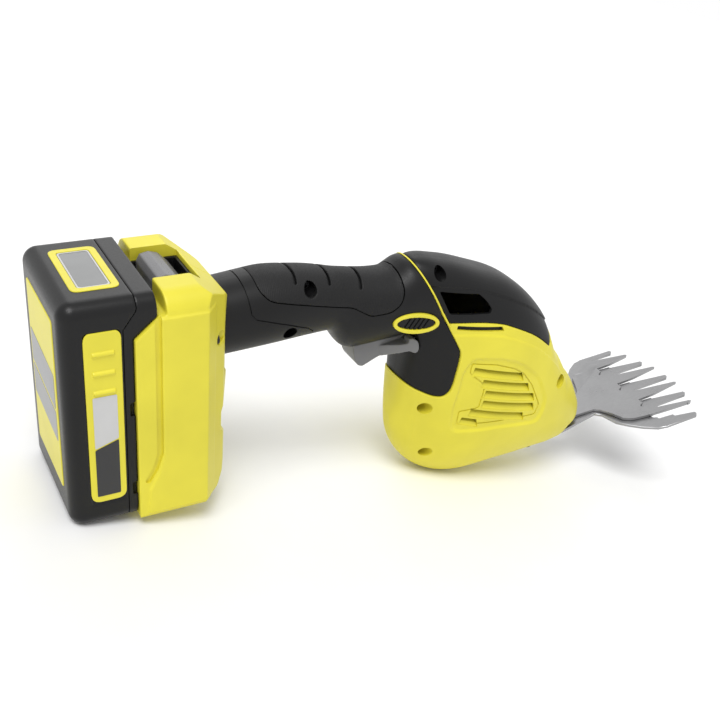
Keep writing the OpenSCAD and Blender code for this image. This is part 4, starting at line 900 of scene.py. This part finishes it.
# battery shoe, its latch and the domed release button
shoe = {
    "channel": [(48.2, 123), (48.2, 40), (45.5, 31), (41.5, 24)], "channelWidth": 3.4, "channelFloor": 41.4,
    "wellRear": 48.0, "wellFront": 79.0, "wellHalf": 19.0, "wellFloor": 104.0, "frameStretch": 1.31,
    "buttonCore": 8.05, "buttonStretch": 1.86, "recess": (86.6, 97.0), "recessFrom": 26.0, "recessRadius": 3.3,
    "wellTop": 150,
}
for side, nodeName in ((-1, "shoe_right"), (1, "shoe_left")):
    half = mould(cadCopy(nodeName, packSpace), cell=0.6, easing=3, kept=0.25)
    cut(half, block("well", (shoe["wellRear"], -shoe["wellHalf"], shoe["wellFloor"]),
                    (shoe["wellFront"], shoe["wellHalf"], shoe["wellTop"])))
    outer = side * through
    for first, last in zip(shoe["channel"], shoe["channel"][1:]):
        cut(half, slotTool("channel", first, last, shoe["channelWidth"], outer, side * shoe["channelFloor"]))
    recessX, recessZ = shoe["recess"]
    recessEnds = [(recessX, y, recessZ) for y in (side * shoe["recessFrom"], outer)]
    cut(half, rod("recess", *recessEnds, shoe["recessRadius"]))
    handOver(half, packSpace, "yellowShell", "tool_body", nodeName)
latchFrame = broaden(cadCopy("latch_frame", packSpace), 0, shoe["frameStretch"])
mould(latchFrame, cell=0.4, easing=4, kept=0.3)
handOver(latchFrame, packSpace, "blackShell", "tool_body", "latch_frame")
release = broaden(cadCopy("release_button", packSpace), shoe["buttonCore"], shoe["buttonStretch"])
mould(release, cell=0.35, easing=16, kept=0.3)
handOver(release, packSpace, "buttonGrey", "latch", "release_button")
print("shoe and latch done")

# battery pack: tub, lid with small drain notches, labels left bare, display
pack = {
    "half": 41.0, "proud": 0.4, "notches": [(66, 74), (16, 24)], "notchX": (33.6, 37.0), "notchDepth": 2.6,
    "panelLift": 0.18, "panelSink": 0.2, "panelRound": 0.8, "rearPanelRound": 1,
    "label": [(11, 16), (30, 16), (30, 118.5), (11, 118.5)], "labelRound": 5.5,
    "palePanel": [(14.2, 81.5), (26.6, 81.5), (26.6, 55), (14.2, 50.5)],
    "darkPanel": [(14.2, 49.7), (26.6, 54.2), (26.6, 20), (14.2, 20)],
    "rearPanels": [[(-24, 88), (24, 92), (24, 72), (-24, 68)], [(-24, 66), (24, 70), (24, 52), (-24, 48)]],
    "top": 133.0, "frameX": 23.0, "ring": (24.6, 51.0), "ringRound": 4.5, "opening": (17.0, 43.4), "openingRound": 2.0,
    "ringSink": 0.6, "ringProud": 0.45, "paneSlip": 0.25, "paneTop": -0.1, "rimWidth": 0.8, "rimTop": 0.1,
    "roomReach": 3,
}
tub = mould(cadCopy("battery_tub", packSpace), cell=0.6, easing=2, kept=0.25)
handOver(tub, packSpace, "packBlack", "battery", "battery_tub")
lid = cadCopy("battery_lid", packSpace)
for low, high in pack["notches"]:
    rear, front = pack["notchX"]
    cut(lid, block("notch", (rear, -through, low), (front, pack["notchDepth"] - pack["half"], high)))
mould(lid, cell=0.6, easing=2, kept=0.25)
handOver(lid, packSpace, "packBlack", "battery", "battery_lid")
sideLabel = cadCopy("side_label", packSpace)
crop(sideLabel, pullOutline("labelPart", roundCorners(pack["label"], pack["labelRound"]), -through, 0))
mould(sideLabel, cell=0.3, easing=4, kept=0.3)
handOver(sideLabel, packSpace, "labelYellow", "battery", "side_label")
face = -pack["half"] - pack["proud"]
for name, finish in (("palePanel", "labelPale"), ("darkPanel", "labelDark")):
    outline = roundCorners(pack[name], pack["panelRound"])
    plate = pullOutline(name, outline, face - pack["panelLift"], face + pack["panelSink"])
    handOver(plate, packSpace, finish, "battery")
rearLabel = mould(cadCopy("rear_label", packSpace), cell=0.4, easing=5, kept=0.3)
handOver(rearLabel, packSpace, "labelYellow", "battery", "rear_label")
for k, outline in enumerate(pack["rearPanels"]):
    plate = pullOutline("rearPanel%d" % k, roundCorners(outline, pack["rearPanelRound"]),
                        -pack["proud"] - pack["panelLift"], pack["panelSink"] - pack["proud"])
    turned(plate, Matrix(((0, 1, 0, 0), (1, 0, 0, 0), (0, 0, 1, 0), (0, 0, 0, 1))))
    handOver(plate, packSpace, "labelGrey", "battery")


def displayPlate(name, size, radius, low, high):
    half = (size[0] / 2, size[1] / 2)
    corners = [(pack["frameX"] + s * half[0], t * half[1]) for s, t in ((-1, -1), (1, -1), (1, 1), (-1, 1))]
    return pullPlan(name, roundCorners(corners, radius), pack["top"] + low, pack["top"] + high)


def smaller(size, by):
    return (size[0] - 2 * by, size[1] - 2 * by)


ring = displayPlate("display_frameSkin", pack["ring"], pack["ringRound"], -pack["ringSink"], pack["ringProud"])
cut(ring, displayPlate("paneRoom", pack["opening"], pack["openingRound"], -pack["roomReach"], pack["roomReach"]))
mould(ring, cell=0.25, easing=4, kept=0.3)
handOver(ring, packSpace, "labelYellow", "battery", "display_frame")
paneSize = smaller(pack["opening"], pack["paneSlip"])
pane = displayPlate("display_windowSkin", paneSize, pack["openingRound"], -pack["ringSink"], pack["paneTop"])
handOver(pane, packSpace, "displayPane", "battery", "display_window")
rim = displayPlate("paneRim", paneSize, pack["openingRound"], pack["paneTop"], pack["rimTop"])
rimInner = smaller(paneSize, pack["rimWidth"])
cut(rim, displayPlate("rimRoom", rimInner, pack["openingRound"], -pack["roomReach"], pack["roomReach"]))
handOver(rim, packSpace, "labelPale", "battery")
print("battery pack done")

# blades with ground edges, their teeth slimmed as photographed; near and far cuts are given for a tooth at Y 0
blades = {
    "trimReach": 10, "sharpFrom": 60.0,
    "combEdge": 0.6, "bladeEdge": 0.5, "combRows": [48.4, 24.2, 0.0, -24.2], "bladeRows": [36.3, 12.1, -12.1],
    "combNear": [(431, -2.6), (434, -2.3), (475, -1.9), (475, -12), (431, -12)],
    "combFar": [(424, -16), (441, -17.2), (469, -21.6), (480, -21.6), (480, -12), (424, -12)],
    "bladeNear": [(424.5, -4.6), (441, -4), (465, -0.5), (475, -0.5), (475, -12), (424.5, -12)],
    "barb": [(405, -35), (412, -35.6), (424, -36), (440, -36.9), (454.5, -37.4), (454.5, -60), (405, -60)],
    "shoulder": [(402, 32), (404, 33.4), (419.5, 43.4), (424, 42.7), (424, 33)], "bladeSkin": (0.3, 2.3),
}


def trimRow(outline, rows):
    reach = blades["trimReach"]
    return join(*[pullPlan("trim", [(x, y + row) for x, y in outline], -reach, reach) for row in rows])


comb = cadCopy("fixed_comb", toolSpace)
for outline in (blades["combNear"], blades["combFar"]):
    cut(comb, trimRow(outline, blades["combRows"]))
upperBlade = cut(cadCopy("moving_blade", toolSpace), trimRow(blades["bladeNear"], blades["bladeRows"]))
join(upperBlade, pullPlan("shoulder", blades["shoulder"], *blades["bladeSkin"]))
cut(upperBlade, trimRow(blades["barb"], [0]))
for blade, edge, body, nodeName in ((comb, blades["combEdge"], "tool_body", "fixed_comb"),
                                    (upperBlade, blades["bladeEdge"], "blade", "moving_blade")):
    mergeFaces(blade)
    sharp = math.radians(blades["sharpFrom"])
    shapeWith(blade, "BEVEL", width=edge, segments=1, limit_method="ANGLE", angle_limit=sharp)
    handOver(blade, toolSpace, "bladeSteel", body, nodeName)
print("blades done")

# camera at the photograph's place, given in the drawing's millimetres
view = {
    "place": (-53.07, -464.36, 435.03), "forward": (0.396834, 0.74248, -0.539672),
    "right": (0.881936, -0.471369, 0.0), "lens": 50.0, "sensor": 36.0,
}
deselectAll()
bpy.ops.object.camera_add()
camera = bpy.context.object
forward, right = Vector(view["forward"]).normalized(), Vector(view["right"]).normalized()
upward = right.cross(forward)
facing = Matrix((right, upward, -forward)).transposed()
camera.matrix_world = (Matrix.Translation(toolSpace @ Vector(view["place"]))
                       @ (toolTurn.to_3x3() @ facing).to_4x4())
camera.data.lens = view["lens"]
camera.data.sensor_width = view["sensor"]
bpy.context.scene.camera = camera

# soft studio light over a plain pale floor: a broad sun and a white sky, even over the whole floor
studio = {
    "keyFrom": (-0.5, -0.45, 1.1), "keyStrength": 1.9, "keyAngle": 32.0,
    "rimPlace": (0.1, 0.9, 0.9), "rimSize": 0.8, "rimPower": 2.0, "rimAim": (0, 0, 0.07),
    "skyShown": 1.0, "skyLight": 0.62, "floorSize": 80.0,
}


def addLight(name, kind, place, aim, energy):
    deselectAll()
    bpy.ops.object.light_add(type=kind, location=place)
    lamp = bpy.context.object
    lamp.name = name
    lamp.data.energy = energy
    lamp.rotation_euler = (Vector(aim) - Vector(place)).to_track_quat("-Z", "Y").to_euler()
    return lamp.data


sun = addLight("keyLight", "SUN", (0, 0, 0), -Vector(studio["keyFrom"]), studio["keyStrength"])
sun.angle = math.radians(studio["keyAngle"])
addLight("rimLight", "AREA", studio["rimPlace"], studio["rimAim"], studio["rimPower"]).size = studio["rimSize"]

world = bpy.data.worlds.new("studioWorld")
bpy.context.scene.world = world
world.use_nodes = True
sky = world.node_tree
sky.nodes.clear()
worldOut = sky.nodes.new("ShaderNodeOutputWorld")
shown, lit = [newNode(sky, "Background", {"Color": (1, 1, 1, 1), "Strength": studio[key]})
              for key in ("skyShown", "skyLight")]
rays = sky.nodes.new("ShaderNodeLightPath")
seen = rays.outputs["Is Camera Ray"]
for ray in ("Is Glossy Ray", "Is Transmission Ray"):
    larger = sky.nodes.new("ShaderNodeMath")
    larger.operation = "MAXIMUM"
    sky.links.new(seen, larger.inputs[0])
    sky.links.new(rays.outputs[ray], larger.inputs[1])
    seen = larger.outputs[0]
either = sky.nodes.new("ShaderNodeMixShader")
sky.links.new(seen, either.inputs["Fac"])
sky.links.new(lit.outputs[0], either.inputs[1])
sky.links.new(shown.outputs[0], either.inputs[2])
sky.links.new(either.outputs[0], worldOut.inputs["Surface"])

deselectAll()
bpy.ops.mesh.primitive_plane_add(size=studio["floorSize"])
floor = bpy.context.object
floor.name = "floor"
finishes["floorPale"] = mouldedPlastic("floorPale", (0.93, 0.93, 0.93), 0.9, 300, 0.0001, (0.99, 1.01))
paint(floor, "floorPale")

bpy.context.scene.view_settings.view_transform = "Standard"
print("studio ready")
